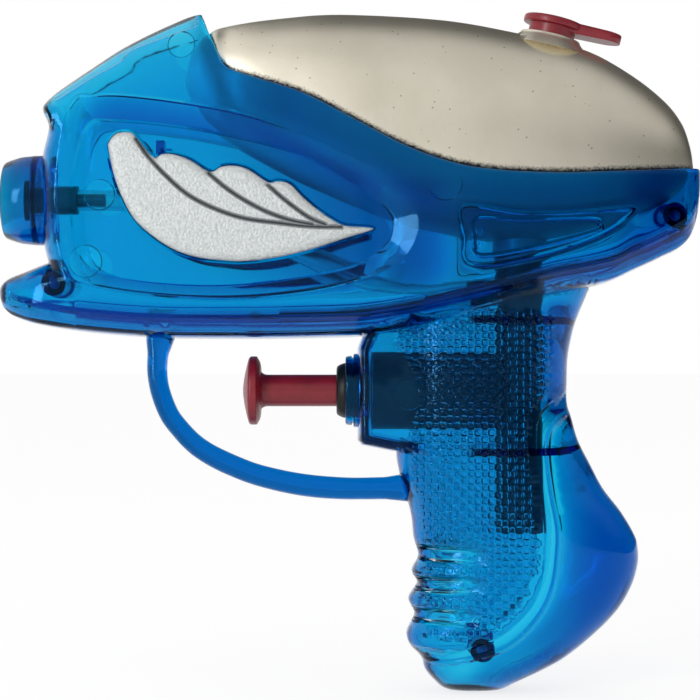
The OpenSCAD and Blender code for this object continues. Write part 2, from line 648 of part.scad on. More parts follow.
module nozzle_body() {
    color([0.2, 0.12, 0.09]) translate([0, 0, nozzle_z]) difference() {
        union() {
            rod_x(floor_x, floor_back + 1, nozzle_chamber + 1.6);
            rod_x(floor_back, nozzle_back, max(nozzle_d, nozzle_chamber + 2));
            rod_x(nozzle_back - 1, nozzle_back + hose_spigot_length, hose_spigot);
        }
        rod_x(floor_x - 1, nozzle_seat, nozzle_chamber);
        rod_x(nozzle_seat - 1, nozzle_back + hose_spigot_length + 1, nozzle_port);
    }
}

module nozzle_tip() {
    color([0.08, 0.08, 0.09]) translate([0, 0, nozzle_z]) difference() {
        union() {
            rod_x(floor_x - jet_plate_t, floor_x, jet_plate_d);
            rod_x(floor_x - 1, floor_x + muzzle_floor, nozzle_chamber - 2 * push_fit);
        }
        rod_x(floor_x - 10, floor_x + 10, jet_hole);
    }
}

module outlet_spring() {
    color([0.7, 0.7, 0.72]) translate([0, 0, nozzle_z]) rotate([0, 90, 0])
        coil(floor_back, outlet_x - 0.75 * outlet_ball_d / 2, outlet_ball_d - 0.5, 0.3, 3);
}

module outlet_ball() {
    color([0.8, 0.8, 0.82]) translate([outlet_x, 0, nozzle_z]) sphere(d = outlet_ball_d);
}

// Hose from the column to the nozzle: straight on both spigots and a smooth bend between.
hose_a = socket_x - 0.1;
hose_b = nozzle_back + 0.1;
hose_c = hose_b + hose_spigot_length + 1;
hose_d0 = hose_a - hose_spigot_length - 1;
function bend(t) = 3 * t * t - 2 * t * t * t;
hose_path = concat([[hose_b, nozzle_z], [hose_c, nozzle_z]],
    [for (i = [1:19]) let (t = i / 20) [hose_c + (hose_d0 - hose_c) * t, nozzle_z + (port_z - nozzle_z) * bend(t)]],
    [[hose_d0, port_z], [hose_a, port_z]]);

function hose_ring(i, r) =
    let (n = len(hose_path), a = hose_path[max(0, i - 1)], b = hose_path[min(n - 1, i + 1)],
        end = i < 2 || i > n - 3, d = end ? [1, 0] : (b - a) / norm(b - a), p = hose_path[i])
    [for (t = [0:30:330]) [p[0] - d[1] * r * sin(t), r * cos(t), p[1] + d[0] * r * sin(t)]];

module outlet_hose() {
    n = len(hose_path);
    color([0.8, 0.9, 0.95, 0.6]) difference() {
        loft([for (i = [0:n - 1]) hose_ring(i, hose_d / 2)]);
        loft([for (i = [0:n - 1]) [for (p = hose_ring(i, hose_in / 2))
            p + [i == 0 ? -0.5 : i == n - 1 ? 0.5 : 0, 0, 0]]]);
    }
}

// Filler cap: disc, pull tab and plug.
module filler_cap() {
    color([0.72, 0.1, 0.13]) on_neck() {
        translate([0, 0, neck_top]) cylinder(h = cap_t, d = cap_d);
        translate([0, 0, neck_top - cap_plug]) cylinder(h = cap_plug + 1, d = neck_bore - 2 * slide_fit);
        translate([0, 0, neck_top]) linear_extrude(height = cap_t) {
            translate([0, -cap_tab_w / 2]) square([cap_tab - cap_tab_w / 2, cap_tab_w]);
            translate([cap_tab - cap_tab_w / 2, 0]) circle(d = cap_tab_w);
        }
    }
}

module shell_screws() {
    color([0.6, 0.6, 0.62]) for (p = screws) translate([p[0], screw_seat, p[1]]) rotate([-90, 0, 0]) {
        translate([0, 0, -screw_length]) cylinder(h = screw_length + 0.1, d = screw_d - 4 * push_fit);
        cylinder(h = screw_head_t, d = screw_head_d);
    }
}

left_shell();
right_shell();
left_wing();
right_wing();
tank();
tank_grommet();
inlet_spigot();
valve_body();
inlet_spring();
inlet_ball();
pump_cylinder();
pump_gland();
trigger();
piston();
piston_ring();
return_spring();
outlet_hose();
nozzle_body();
nozzle_tip();
outlet_spring();
outlet_ball();
filler_cap();
shell_screws();
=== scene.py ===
import math

import bmesh
import bpy
import numpy as np
from mathutils import Matrix, Vector, kdtree
from mathutils.geometry import delaunay_2d_cdt


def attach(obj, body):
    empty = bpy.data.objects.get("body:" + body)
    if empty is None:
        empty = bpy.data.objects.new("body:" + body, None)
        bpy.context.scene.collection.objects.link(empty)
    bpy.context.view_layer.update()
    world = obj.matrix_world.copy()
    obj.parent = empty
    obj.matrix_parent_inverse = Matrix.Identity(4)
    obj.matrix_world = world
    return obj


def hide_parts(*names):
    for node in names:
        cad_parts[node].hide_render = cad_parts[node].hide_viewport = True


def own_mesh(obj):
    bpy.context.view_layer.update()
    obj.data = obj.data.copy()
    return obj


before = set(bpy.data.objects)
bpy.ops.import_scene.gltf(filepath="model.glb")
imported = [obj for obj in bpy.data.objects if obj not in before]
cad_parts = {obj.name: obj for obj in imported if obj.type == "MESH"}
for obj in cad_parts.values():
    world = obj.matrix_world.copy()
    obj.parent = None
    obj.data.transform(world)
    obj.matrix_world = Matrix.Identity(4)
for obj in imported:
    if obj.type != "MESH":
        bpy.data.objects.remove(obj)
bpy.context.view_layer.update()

# Clear body shells: two injection-moulded halves of blue-tinted polystyrene that meet on the middle
# plane. Each half is one thin wall with a dish, a triangle, finger grooves and a pressed grip pattern;
# it is made here as a height over the side view, with the inside of the wall set in by its thickness.
MM = 0.001
BATCH, MERGE, SAME_PLACE = 4000, 3e-6, 2e-3
# Sizes are in millimetres. Outlines are (x, z) points of the side view, and curves are (place, value) points.
NOSE, TAIL, SADDLE = -75, 75, -32
GRIP_TOP, FOOT_CUT = 90, 1.4
NOZZLE_Z, PUMP_Z, COLUMN_X = 105.2, 64.4, 36.6
WALL, LEDGE = 1.6, 4.5
ROOF_THIN, NOSE_THIN = 0.4, 0.8
BEVEL_HIGH, BEVEL_SHARE, FILLET = 5.6, 0.35, 0.8
KEEL_ROUND, KEEL_FLAT, BEVEL_STEP, BEVEL_RISE = 0.6, 0.7, 0.28, 3.8
CREASE_STEP, CREASE_FOOT, CREASE_RISE = 0.02, 4.4, 1.4
CROWN_MOST, CROWN_POWER, CROWN_ROOT = 0.6, 2.44, 0.41
NOSE_EDGE, NOSE_EDGE_LESS, TAIL_EDGE = 4.4, 2.6, 2.6
FIN_END, FIN_CROWN, FIN_EDGE = -57.5, 0.45, 1.6
GRIP_POWER, GRIP_ROOT, FOOT_EDGE = 2.5, 0.4, 0.8
BLOCK_EDGE, GUARD_EDGE = 1.3, 2.2
SEAM_ROUND, GUTTER_HALF, GUTTER_DEEP, FLANGE_DEEP = 0.9, 0.3, 0.5, 0.6
MARK_DEEP, MARK_SLOPE, REAR_BAND, RIM_BAND = 0.35, 0.15, 1.1, 0.9
TAIL_THICK, BACK_THICK, SIDE_THICK = 2.8, 1.8, 1.4
KEEL = [(-75, 84.8), (-73.6, 82), (-71.4, 80.2), (-66, 78.4), (-53.5, 76.6), (-36, 75.5), (0, 75.8),
        (11, 77.2), (22, 79.6), (32.5, 82.3), (43, 84.9), (54.4, 87.3), (60.2, 89.9), (65.8, 92.5),
        (71.2, 95.6), (73.5, 100.2), (74.6, 105), (75, 108.5)]
FIN_TOP = [(-75, 86.4), (-73, 88.3), (-69.4, 89.8), (-63.2, 92.2), (-57, 94)]
FAIRING = [(-66.4, 125), (-65.2, 126), (-63.4, 127.3), (-61.8, 128.6), (-55.7, 132.8), (-47.7, 138),
           (-36.8, 143.3), (-31.6, 145), (0, 148), (45, 142), (67, 127), (75, 115)]
FRONT = [(84, -63), (90, -64), (96, -65.4), (105, -66.2), (114, -65.7), (118.4, -64.7), (120.8, -64.1),
         (122.2, -64.6), (123.4, -65.3), (124.8, -65.6), (126, -65.2), (128, -64)]
HALF_WIDTH = [(-75, 5), (-73, 8), (-69, 10.6), (-63.2, 12.2), (-41.2, 14), (-20.2, 15.7), (-3.2, 17.1),
              (5, 17.5), (28, 17.5), (45, 16.7), (60, 14.9), (70, 12.3), (73.5, 10.5), (75, 8.5)]
CROWN = [(-63.2, 7), (-56, 11), (-45, 17), (-32, 22), (0, 26), (67, 14), (75, 3)]
SEAM = [(-32, 146), (-30.8, 142.5), (-28.5, 137.5), (-26.5, 133), (-24, 131.4), (-20, 130), (-10, 126.7),
        (0, 121.6), (10.6, 116), (19, 112.7), (27, 110.9), (41, 110), (56, 110.4), (76, 111.4)]
GRIP_FRONT = [(0, 23), (0.6, 20.4), (2.2, 18.3), (4.7, 16.2), (7.3, 15.4), (10, 12.9), (12.5, 12.2),
              (14.8, 13.2), (16.8, 13.9), (19.8, 12.6), (22, 13.8), (23.4, 14.5), (25.8, 13.3), (29, 14.7),
              (33, 13.7), (37, 13.3), (41, 12.4), (44, 11.4), (48, 10.4), (51, 10), (90, 10)]
GRIP_REAR = [(0, 31.5), (0.6, 33.2), (2.2, 36.2), (4.7, 41.5), (7.3, 46.2), (12.5, 52.7), (17.6, 57.6),
             (22.8, 60.6), (27.5, 61.9), (30.5, 61.9), (33.1, 61.3), (38.3, 58.3), (43.4, 54.4), (48.6, 51.6),
             (53.8, 49), (58.9, 47.5), (61.5, 46.7), (66.7, 46.6), (71.8, 46.8), (77, 47.8), (79.6, 48.6),
             (84, 50.4), (90, 53)]
GRIP_WIDE = [(0, 4.5), (1.2, 7.1), (3.5, 9.5), (7.3, 11), (15, 12.1), (30, 12.5), (60, 12.5), (90, 13)]
BLOCK = [(2.7, 81), (2.7, 76), (1.7, 73.6), (1.7, 53.8), (2.6, 52.8), (9.6, 51.4), (22, 50), (22, 81)]
BLOCK_HALF = 10.5
GUARD = [(-40.4, 78), (-41.2, 71.8), (-41.3, 68), (-40.6, 64), (-38.7, 59.2), (-36.3, 56), (-33.4, 53),
         (-29.9, 50.6), (-24.7, 48.1), (-19.2, 46.1), (-10.5, 44.2), (-1.9, 43.4), (6.7, 43.4), (13, 43.6)]
GUARD_HIGH = [3.6, 2.25, 2.1, 2.1, 2.1, 2.2, 2.3, 2.3, 2.35, 2.4, 2.4, 2.35, 2.4, 3.2]
GUARD_HALF = 2.7
DISH_RIM = [(-59, 124), (-54, 126.5), (-45.6, 126.5), (-31, 124.4), (-18.6, 121.5), (-4, 115.7), (7.4, 109.4),
            (12.6, 104.3), (14.4, 99.1), (12.6, 93.9), (8.4, 90), (-4, 85.8), (-20.7, 83.7), (-37.3, 84),
            (-53.9, 86.4), (-60, 90), (-61.5, 105)]
DISH_FLOOR = [(-55, 119.5), (-48.7, 120.9), (-31, 118.8), (-10.3, 113.6), (4.3, 105.3), (8.6, 101.1),
              (8.9, 97.6), (7.4, 95), (3.2, 91.8), (-4, 89.5), (-22.7, 86.9), (-39.4, 87.2), (-52.5, 89.6),
              (-57, 95), (-58, 107)]
DISH_DEPTH = 1.6
WING = [(-50.4, 116.5), (-48.7, 118.4), (-45.8, 118.6), (-44.4, 117.4), (-41, 113.4), (-39.2, 114),
        (-36.9, 114), (-33.4, 112.8), (-29.2, 110.3), (-26.7, 111.3), (-24, 111.5), (-21.1, 110.7),
        (-16.9, 108), (-14.9, 108.2), (-12.4, 107.6), (-9.7, 104.9), (-6.8, 102.4), (-3.8, 100.3),
        (-0.9, 98.9), (3.8, 98.5), (4.7, 98), (-0.5, 96.4), (-7.6, 94.1), (-14.9, 92.4), (-21.9, 91.6),
        (-26.7, 91.8), (-31.5, 92.4), (-36.3, 93.9), (-41, 96.8), (-45, 100.5), (-47.7, 105.3),
        (-49.4, 110.1), (-50.4, 114.9)]
BROW = [(-61.4, 125.4), (-60.4, 126.1), (-54, 130.2), (-47.6, 133.9), (-46.4, 135.9), (-40, 138.4),
        (-31.4, 141.2)]
TRIANGLE_RIM = [(23.4, 103.3), (35.3, 102.1), (45.6, 102.1), (57.4, 103), (59, 101.6), (51.8, 96.9),
                (39.4, 92.7), (25, 90.6), (23.3, 96.9)]
TRIANGLE_FLOOR = [(26.8, 100.4), (35.3, 100), (50.4, 100.3), (51.7, 99.2), (51, 98.3), (39.4, 95.2),
                  (27.2, 93.2), (26.2, 96.9)]
TRIANGLE_DEPTH, TRIANGLE_EDGE, ISLAND_RISE = 1.4, 0.6, 1.0
INNER_GROOVE, INNER_ISLAND, INNER_SPREAD = 1.8, 1.5, 1.2
EDGE_WIDE = 0.45
PANEL_EDGE = [(47.5, 66), (44.6, 63.4), (42.3, 62.2), (39.6, 59.1), (39, 54.5), (40, 45.1), (40.7, 33.4),
              (40.2, 26.5), (38.4, 20.4), (34.6, 15.8), (30, 12.5), (24.3, 10.6), (19.8, 10.2), (15.6, 10.4),
              (11, 10.6)]
TAIL_BEAD = [(46, 59.6), (43.4, 58), (41.9, 55), (41.6, 51.2), (42.5, 43.2), (43.8, 35.7), (43.8, 31.1),
             (42.9, 24.2), (41.1, 19.4), (37.5, 14.4), (32.7, 10.6), (26.2, 8.3), (19.8, 7.1), (14, 7.6)]
SLOTS = [(30, 28.4), (23.5, 28), (16.8, 27)]
SLOT_START, SLOT_HALF, SLOT_DEEP, SLOT_SLOPE = 8, 1.6, 0.6, 1.1
BEAD_HIGH, BEAD_HALF, TAIL_DEEP = 0.55, 0.75, 0.8
TEXTURE = [(9.6, 77), (11.6, 71), (13.6, 65.8), (14.2, 62.7), (13.4, 57.4), (12.4, 52.8), (13, 45.9),
           (14.6, 40.7), (15.4, 33.4), (15.8, 31.3), (16, 12.6), (24.3, 12), (30, 14), (34.2, 17.4),
           (37.2, 21.6), (38.8, 26.9), (39.2, 33.4), (38.4, 45.1), (37.4, 54.5), (38.2, 60), (41.1, 63.5),
           (42.5, 71), (43, 80), (30, 82), (10, 80)]
TEXTURE_PITCH, LARGE_SQUARE, SMALL_SQUARE, SQUARE_HIGH = 1.45, 0.66, 0.46, 0.34
SCREWS = [(-62, 87), (68, 101.5), (28, 10)]
TANK_FRONT, TANK_REAR, TANK_GAP = -35, 73.4, 0.3
ROOF = [(-35, 130.9), (-33.8, 135.7), (-31.4, 139.3), (-27.6, 142), (-10.5, 144.5), (0, 144.9), (19.6, 143.8),
        (32.5, 141.7), (49.7, 137.6), (58.3, 133.3), (66.9, 126.9), (71.2, 121.5), (73, 115.9), (73.4, 112.9)]
BELLY = [(-35, 129.5), (-33.6, 125.6), (-30, 120.6), (-18, 113), (0, 104.4), (15, 99), (30, 96.4), (45, 97),
         (59, 100.6), (67, 104.4), (71, 107.4), (73.4, 111.5)]
EGG = [(-35, 11), (-33.6, 7.2), (-30, 3.6), (-23, 1), (-10, 0.2), (0, 0), (49, 0), (59, 0.6), (67, 1.7),
       (71, 2.9), (72.6, 3.9), (73.4, 5.8)]
EJECTOR_MARKS = [(-52.5, 105.7, 3.3), (-55.4, 91.7, 3.5), (-35.2, 137, 2.9), (19.9, 107.6, 3.5),
                 (12.6, 63.7, 3.3)]


def through(points, at):
    """A smooth curve through (place, value) points, read at many places."""
    place, value = np.array(points, float).T
    n = len(place)
    ahead = np.minimum(np.arange(n) + 1, n - 1)
    behind = np.maximum(np.arange(n) - 1, 0)
    slope = (value[ahead] - value[behind]) / (place[ahead] - place[behind])
    at = np.asarray(at, float)
    i = np.clip(np.searchsorted(place, at) - 1, 0, n - 2)
    h = place[i + 1] - place[i]
    t = np.clip((at - place[i]) / h, 0, 1)
    return (value[i] * (2 * t ** 3 - 3 * t ** 2 + 1) + slope[i] * h * (t ** 3 - 2 * t ** 2 + t)
            + value[i + 1] * (3 * t ** 2 - 2 * t ** 3) + slope[i + 1] * h * (t ** 3 - t ** 2))


def rounded_loop(points, steps):
    """A closed smooth outline through a few points."""
    b = np.array(points, float)
    a, c, d = np.roll(b, 1, 0), np.roll(b, -1, 0), np.roll(b, -2, 0)
    t = (np.arange(steps) / steps)[:, None, None]
    loop = 0.5 * (2 * b + (c - a) * t + (2 * a - 5 * b + 4 * c - d) * t ** 2
                  + (3 * b - a - 3 * c + d) * t ** 3)
    return loop.transpose(1, 0, 2).reshape(-1, 2)


def smooth_path(points, gap):
    """An open smooth path through a few points, with a point about every gap."""
    p = np.array(points, float)
    along = np.concatenate([[0], np.cumsum(np.hypot(*np.diff(p, axis=0).T))])
    s = np.linspace(0, along[-1], int(along[-1] / gap) + 2)
    return np.stack([through(np.stack([along, p[:, i]], 1), s) for i in (0, 1)], 1)


def sideways(path):
    """Unit vectors to one side of a path, at each of its points."""
    way = np.gradient(path, axis=0)
    return np.stack([way[:, 1], -way[:, 0]], 1) / np.hypot(*way.T)[:, None]


def closed(loop):
    """An outline with its first point again at its end."""
    return np.concatenate([loop, loop[:1]])


def distance(x, z, line, around):
    """How far points are from a line of points; negative outside one that goes around."""
    a = np.array(line, float)
    b = np.roll(a, -1, 0)
    if not around:
        a, b = a[:-1], b[:-1]
    away = np.empty(len(x))
    for k in range(0, len(x), BATCH):
        px, pz = x[k:k + BATCH, None], z[k:k + BATCH, None]
        ex, ez = b[:, 0] - a[:, 0], b[:, 1] - a[:, 1]
        t = np.clip(((px - a[:, 0]) * ex + (pz - a[:, 1]) * ez) / (ex ** 2 + ez ** 2 + 1e-12), 0, 1)
        near = np.sqrt(((px - a[:, 0] - t * ex) ** 2 + (pz - a[:, 1] - t * ez) ** 2).min(1))
        if around:
            over = (a[:, 1] > pz) != (b[:, 1] > pz)
            cross = px < a[:, 0] + ex * (pz - a[:, 1]) / np.where(ez == 0, 1e-12, ez)
            near = np.where((over & cross).sum(1) % 2 == 1, near, -near)
        away[k:k + BATCH] = near
    return away


def ease(t):
    """A soft step from 0 to 1."""
    t = np.clip(t, 0, 1)
    return t * t * (3 - 2 * t)


def quarter(t):
    """The height of a quarter-round edge, from 0 at its foot to 1."""
    return np.sqrt(np.clip(1 - (1 - np.clip(t, 0, 1)) ** 2, 0, 1))


def bevel_scale(rise):
    """How much the bevel along the keel shrinks where the body is low."""
    return np.minimum(1, BEVEL_SHARE * rise / BEVEL_HIGH)


def section(z, low, high, w, crown):
    """Half width of the body at height z: flat bottom, bevel, upright side and round crown."""
    rise = np.maximum(high - low, 0.01)
    s = (z - low) / bevel_scale(rise)
    foot = np.where(s < KEEL_ROUND, KEEL_FLAT * np.sqrt(np.clip(s / KEEL_ROUND, 0, 1)),
                    KEEL_FLAT + BEVEL_STEP * np.clip((s - KEEL_ROUND) / BEVEL_RISE, 0, 1))
    foot = foot + CREASE_STEP * ease((s - CREASE_FOOT) / CREASE_RISE)
    crown = np.minimum(crown, CROWN_MOST * rise)
    q = np.clip((z - high + crown) / crown, 0, 1)
    return w * np.minimum(foot, (1 - q ** CROWN_POWER) ** CROWN_ROOT)


def body_height(x, z, d):
    """Half width of the body at points of the side view, set in by d."""
    low, high = through(KEEL, x) + d, through(FAIRING, x) - ROOF_THIN * d
    start, stop = through(FRONT, z) + NOSE_THIN * d, TAIL - d
    lip = NOSE_EDGE - NOSE_EDGE_LESS * ease((z - 118) / 4)
    y = section(z, low, high, through(HALF_WIDTH, x) - d, through(CROWN, x) - d)
    y = y * quarter((x - start) / (lip - 0.5 * d)) * quarter((stop - x) / TAIL_EDGE)
    out = np.minimum(np.minimum(z - low, high - z), np.minimum(x - start, stop - x))
    return np.where(out < 0, 2 * out, y)


def fin_height(x, z, d):
    """Half width of the fin under the muzzle."""
    low, high = through(KEEL, x) + d, through(FIN_TOP, x) - d
    y = section(z, low, high, through(HALF_WIDTH, x) - d, FIN_CROWN * (high - low))
    y = y * quarter((x - NOSE - d) / FIN_EDGE)
    out = np.minimum(np.minimum(z - low, high - z), np.minimum(x - NOSE - d, FIN_END - x))
    return np.where(out < 0, 2 * out, y)


def grip_level(above, d):
    """The level of the grip's curves for a height above its foot, set in by d."""
    return above if d == 0 else FOOT_CUT + above * (GRIP_TOP - FOOT_CUT) / (GRIP_TOP - d)


def grip_height(x, z, d):
    """Half width of the grip, rounded across."""
    level = grip_level(z - d, d)
    front, rear = through(GRIP_FRONT, level) + d, through(GRIP_REAR, level) - d
    u = np.abs(x - (front + rear) / 2) / ((rear - front) / 2)
    y = (through(GRIP_WIDE, level) - d) * np.clip(1 - u ** GRIP_POWER, 0, 1) ** GRIP_ROOT
    y = y * quarter((z - d) / FOOT_EDGE)
    out = np.minimum(np.minimum(x - front, rear - x), np.minimum(z - d, GRIP_TOP - z))
    return np.where(out < 0, 2 * out, y)


def block_height(x, z, d):
    """Half width of the block that carries the pump, square with rounded edges."""
    edge = distance(x, z, BLOCK, True) - d
    return np.where(edge < 0, 2 * edge, (BLOCK_HALF - d) * quarter(edge / BLOCK_EDGE) ** 0.8)


guard_path = smooth_path(GUARD, 0.8)
guard_high = np.interp(np.linspace(0, 1, 4 * len(guard_path)),
                       np.linspace(0, 1, len(GUARD_HIGH)), GUARD_HIGH)[::4]
guard_side = sideways(guard_path) * guard_high[:, None]
guard_edges = [guard_path - guard_side, guard_path + guard_side]
guard_loop = np.concatenate([guard_edges[0], guard_edges[1][::-1]])


def guard_height(x, z, d):
    """Half width of the trigger guard, a solid rounded bar, so that nothing of it is left set in."""
    edge = distance(x, z, guard_loop, True) - 9 * d
    bow = np.clip(1 - (1 - np.clip(edge / GUARD_EDGE, 0, 1)) ** 2.6, 0, 1) ** 0.4
    return np.where(edge < 0, 2 * edge, GUARD_HALF * bow)


def joined(a, b, soft):
    """The larger of two heights, with a small fillet where they meet."""
    h = np.clip(soft - np.abs(a - b), 0, soft) / soft
    return np.maximum(a, b) + h * h * soft / 4


def plain_height(x, z, d):
    """Half width of the bare shell form, set in by d."""
    h = np.maximum(body_height(x, z, d), fin_height(x, z, d))
    for part in (grip_height, block_height, guard_height):
        h = joined(h, part(x, z, d), FILLET)
    return h


dish_rim, dish_floor = rounded_loop(DISH_RIM, 10), rounded_loop(DISH_FLOOR, 10)
triangle_rim, triangle_floor = rounded_loop(TRIANGLE_RIM, 8), rounded_loop(TRIANGLE_FLOOR, 8)
panel_edge, tail_bead = smooth_path(PANEL_EDGE, 0.6), smooth_path(TAIL_BEAD, 0.6)
wing_loop, brow = rounded_loop(WING, 5), smooth_path(BROW, 0.5)
slot_loops = []
for level, end in SLOTS:
    turn = np.linspace(-math.pi / 2, math.pi / 2, 13)
    tip = np.stack([end - SLOT_HALF + SLOT_HALF * np.cos(turn), level + SLOT_HALF * np.sin(turn)], 1)
    sides = [[(SLOT_START, level + s * SLOT_HALF)] for s in (-1, 1)]
    slot_loops.append(np.concatenate([sides[0], tip, sides[1]]))


def inset(loop, s):
    """A closed outline moved inwards by s."""
    way = np.roll(loop, -1, 0) - np.roll(loop, 1, 0)
    return loop + s * np.stack([way[:, 1], -way[:, 0]], 1) / np.hypot(*way.T)[:, None]


def dish_depth(x, z, sharp):
    """How far down the dish is, from 0 to 1: an even slope, or a drop at its rim and one to its floor."""
    out, into = distance(x, z, dish_rim, True), distance(x, z, dish_floor, True)
    t = np.clip(out, 0, None) / (np.clip(out, 0, None) + np.clip(-into, 0, None) + 1e-9)
    slope = np.where(out <= 0, 0, np.where(into >= 0, 1, t))
    drops = 0.5 * ease(out / EDGE_WIDE) + 0.5 * ease(into / EDGE_WIDE + 1)
    return (1 - sharp) * slope + sharp * drops


def side_relief(x, z, sharp):
    """Depth of the dish and of the triangle's groove around its island; softer for the inside of the wall."""
    rear = ease((x - 1) / 5)
    dish = dish_depth(x, z, 0.7 * sharp * (1 - rear)) * ease((x + 61.5) / 9)
    out, into = distance(x, z, triangle_rim, True), distance(x, z, triangle_floor, True)
    if sharp:
        groove = TRIANGLE_DEPTH * ease(out / TRIANGLE_EDGE) - ISLAND_RISE * ease(into / TRIANGLE_EDGE + 1)
    else:
        steep = np.maximum(ease(z - 96.1 - 0.105 * (x - 27)), ease((26.6 - x) / 0.6))
        groove = INNER_GROOVE * ease((out + INNER_SPREAD - 0.9 * steep) / (2 * INNER_SPREAD - steep))
        groove = groove - INNER_ISLAND * ease((into + INNER_SPREAD) / (1.3 + 1.1 * steep))
    return (DISH_DEPTH + 0.4 * rear) * dish + groove


def outside(x, z, path):
    """Distance from an open path, above zero on the grip's rear side of it."""
    i = np.argmin((x[:, None] - path[::6, 0]) ** 2 + (z[:, None] - path[::6, 1]) ** 2, 1) * 6
    i = np.minimum(i, len(path) - 2)
    way = path[i + 1] - path[i]
    rear = (x - path[i, 0]) * way[:, 1] - (z - path[i, 1]) * way[:, 0] < 0
    return np.where(rear, 1, -1) * distance(x, z, path, False)


def in_slot(x, z):
    """How far inside a finger slot points are; negative beside the slots."""
    return np.max([distance(x, z, loop, True) for loop in slot_loops], axis=0)


def grip_relief(x, z):
    """Depth of the finger grooves, of the tail beside the panel, and of the bead along it."""
    deep = SLOT_DEEP * ease(in_slot(x, z) / SLOT_SLOPE + 0.2)
    deep = deep * ease((x - through(GRIP_FRONT, z) - 0.4) / 2.5)
    bead = BEAD_HIGH * np.clip(1 - (distance(x, z, tail_bead, False) / BEAD_HALF) ** 2, 0, 1)
    tail = TAIL_DEEP * ease(outside(x, z, panel_edge) / 0.5)
    inside = (z < 66) & (grip_height(x, z, 0) > 0)
    return np.where(inside, np.maximum(deep, tail) - bead, 0)


def tank_form(at, d):
    """The tank's top, bottom, half width and widest level at places along it, set in by d."""
    top, low = through(ROOF, at) - d, through(BELLY, at) + d
    wide = through(HALF_WIDTH, at) - WALL - TANK_GAP - through(EGG, at) - d
    return top, low, wide, np.clip(through(SEAM, at) - 3, low + 0.3 * (top - low), top - 0.3 * (top - low))


def tank_side(x, z):
    """Half width of the tank at points of the side view, and below zero beside it."""
    top, low, wide, middle = tank_form(np.clip(x, TANK_FRONT + 0.1, TANK_REAR - 0.1), 0)
    rise = np.abs(z - middle) / np.where(z > middle, top - middle, middle - low)
    half_wide = wide * np.clip(1 - np.clip(rise, 0, 1) ** 2.38, 0, 1) ** 0.42
    return np.where((rise > 1) | (x < TANK_FRONT) | (x > TANK_REAR), -9, half_wide)


texture_loop = np.array(TEXTURE, float)
seam_at = np.linspace(SADDLE, TAIL, 220)
seam_line = np.stack([seam_at, through(SEAM, seam_at)], 1)


def pressed_pattern(x, z):
    """Height of the grip's pattern: large and small rounded squares like a chequer board."""
    i, j = np.floor(x / TEXTURE_PITCH), np.floor(z / TEXTURE_PITCH)
    u, v = x - (i + 0.5) * TEXTURE_PITCH, z - (j + 0.5) * TEXTURE_PITCH
    size = np.where((i + j) % 2 == 0, LARGE_SQUARE, SMALL_SQUARE)
    r = ((np.abs(u) / size) ** 4 + (np.abs(v) / size) ** 4) ** 0.25
    return SQUARE_HIGH * ease((1.12 - r) / 0.36)


def on_grip(x, z):
    """True where the grip's side, not the body's, is the outside."""
    return body_height(x, z, 0) < grip_height(x, z, 0) - 0.3


def outer_height(x, z):
    """Half width of the finished outside of a shell."""
    h = plain_height(x, z, 0)
    relief = side_relief(x, z, 1) * ease((body_height(x, z, 0) - 6) / 3)
    h = np.maximum(h - relief, np.minimum(h, tank_side(x, z) + 1)) - grip_relief(x, z) * ease(h / 3)
    h = h - SEAM_ROUND * (1 - quarter(distance(x, z, seam_line, False))) * (x > SADDLE + 0.1)
    gutter = np.clip(1 - np.abs(-distance(x, z, wing_loop, True) - GUTTER_HALF) / GUTTER_HALF, 0, 1)
    flange = ease(outside(x, z, brow) / 0.4) * ease((-31 - x) / 3) * ease((z - 124) / 2)
    h = h - GUTTER_DEEP * gutter - FLANGE_DEEP * flange * ease((h - 3) / 4)
    panel = distance(x, z, texture_loop, True)
    fade = ease(panel / 0.6) * ease((-in_slot(x, z) - 0.4) / 0.5)
    return h + np.where(on_grip(x, z) & (panel > 0), pressed_pattern(x, z) * fade, 0)


def inner_height(x, z):
    """Half width of the inside of a shell, with the marks of the ejector pins, a ledge and thicker places."""
    h = plain_height(x, z, WALL)
    tail = ease((outside(x, z, tail_bead) - 0.3) / 9) * ease((59 - z) / 3) * ease((x - 24) / 10)
    back = ease((x - 40) / 4) * ease((z - 58) / 3) * ease((84 - z) / 4)
    marks = np.zeros(len(x))
    for mx, mz, r in EJECTOR_MARKS:
        marks = marks + MARK_DEEP * ease((r - np.hypot(x - mx, z - mz)) / MARK_SLOPE)
    slope = dish_depth(x, z, 0)
    bright = REAR_BAND * np.clip(4 * slope * (1 - slope), 0, 1) * ease((x - 5) / 3)
    band = ease(distance(x, z, dish_rim, True) / 0.6) * ease(-distance(x, z, dish_floor, True) / 0.6)
    band = RIM_BAND * band * ease((4 - x) / 4) * ease((x + 58) / 8)
    above = (z - through(KEEL, x) - WALL) / bevel_scale(through(FAIRING, x) - through(KEEL, x))
    ledge = LEDGE * ease((above - 2.4) / 0.25) * ease((3.6 - above) / 0.25) * ease((72 - np.abs(x)) / 6)
    ledge = np.where(grip_height(x, z, 0) > body_height(x, z, 0), 0, ledge)
    thick = (SIDE_THICK - ease((x - 15) / 8) * ease((62 - x) / 6)) * ease((x + 30) / 45) * ease((z - 84) / 8)
    low = h - np.maximum(side_relief(x, z, 0) - bright, 0) * ease((h - 4) / 3)
    low = low - (TAIL_THICK * tail + BACK_THICK * back) * ease(h / 3)
    low = low + (marks - ledge - thick - band) * ease((h - 3) / 4)
    return np.maximum(low, np.minimum(h, tank_side(x, z) + 0.15))


def covers(x, z, d):
    """True inside the side view of the form, set in by d, and under the line that the tank stands on."""
    parts = [part(x, z, d) for part in (body_height, fin_height, grip_height, block_height, guard_height)]
    return (np.max(parts, axis=0) > 0) & ((x < SADDLE) | (z < through(SEAM, np.maximum(x, SADDLE))))


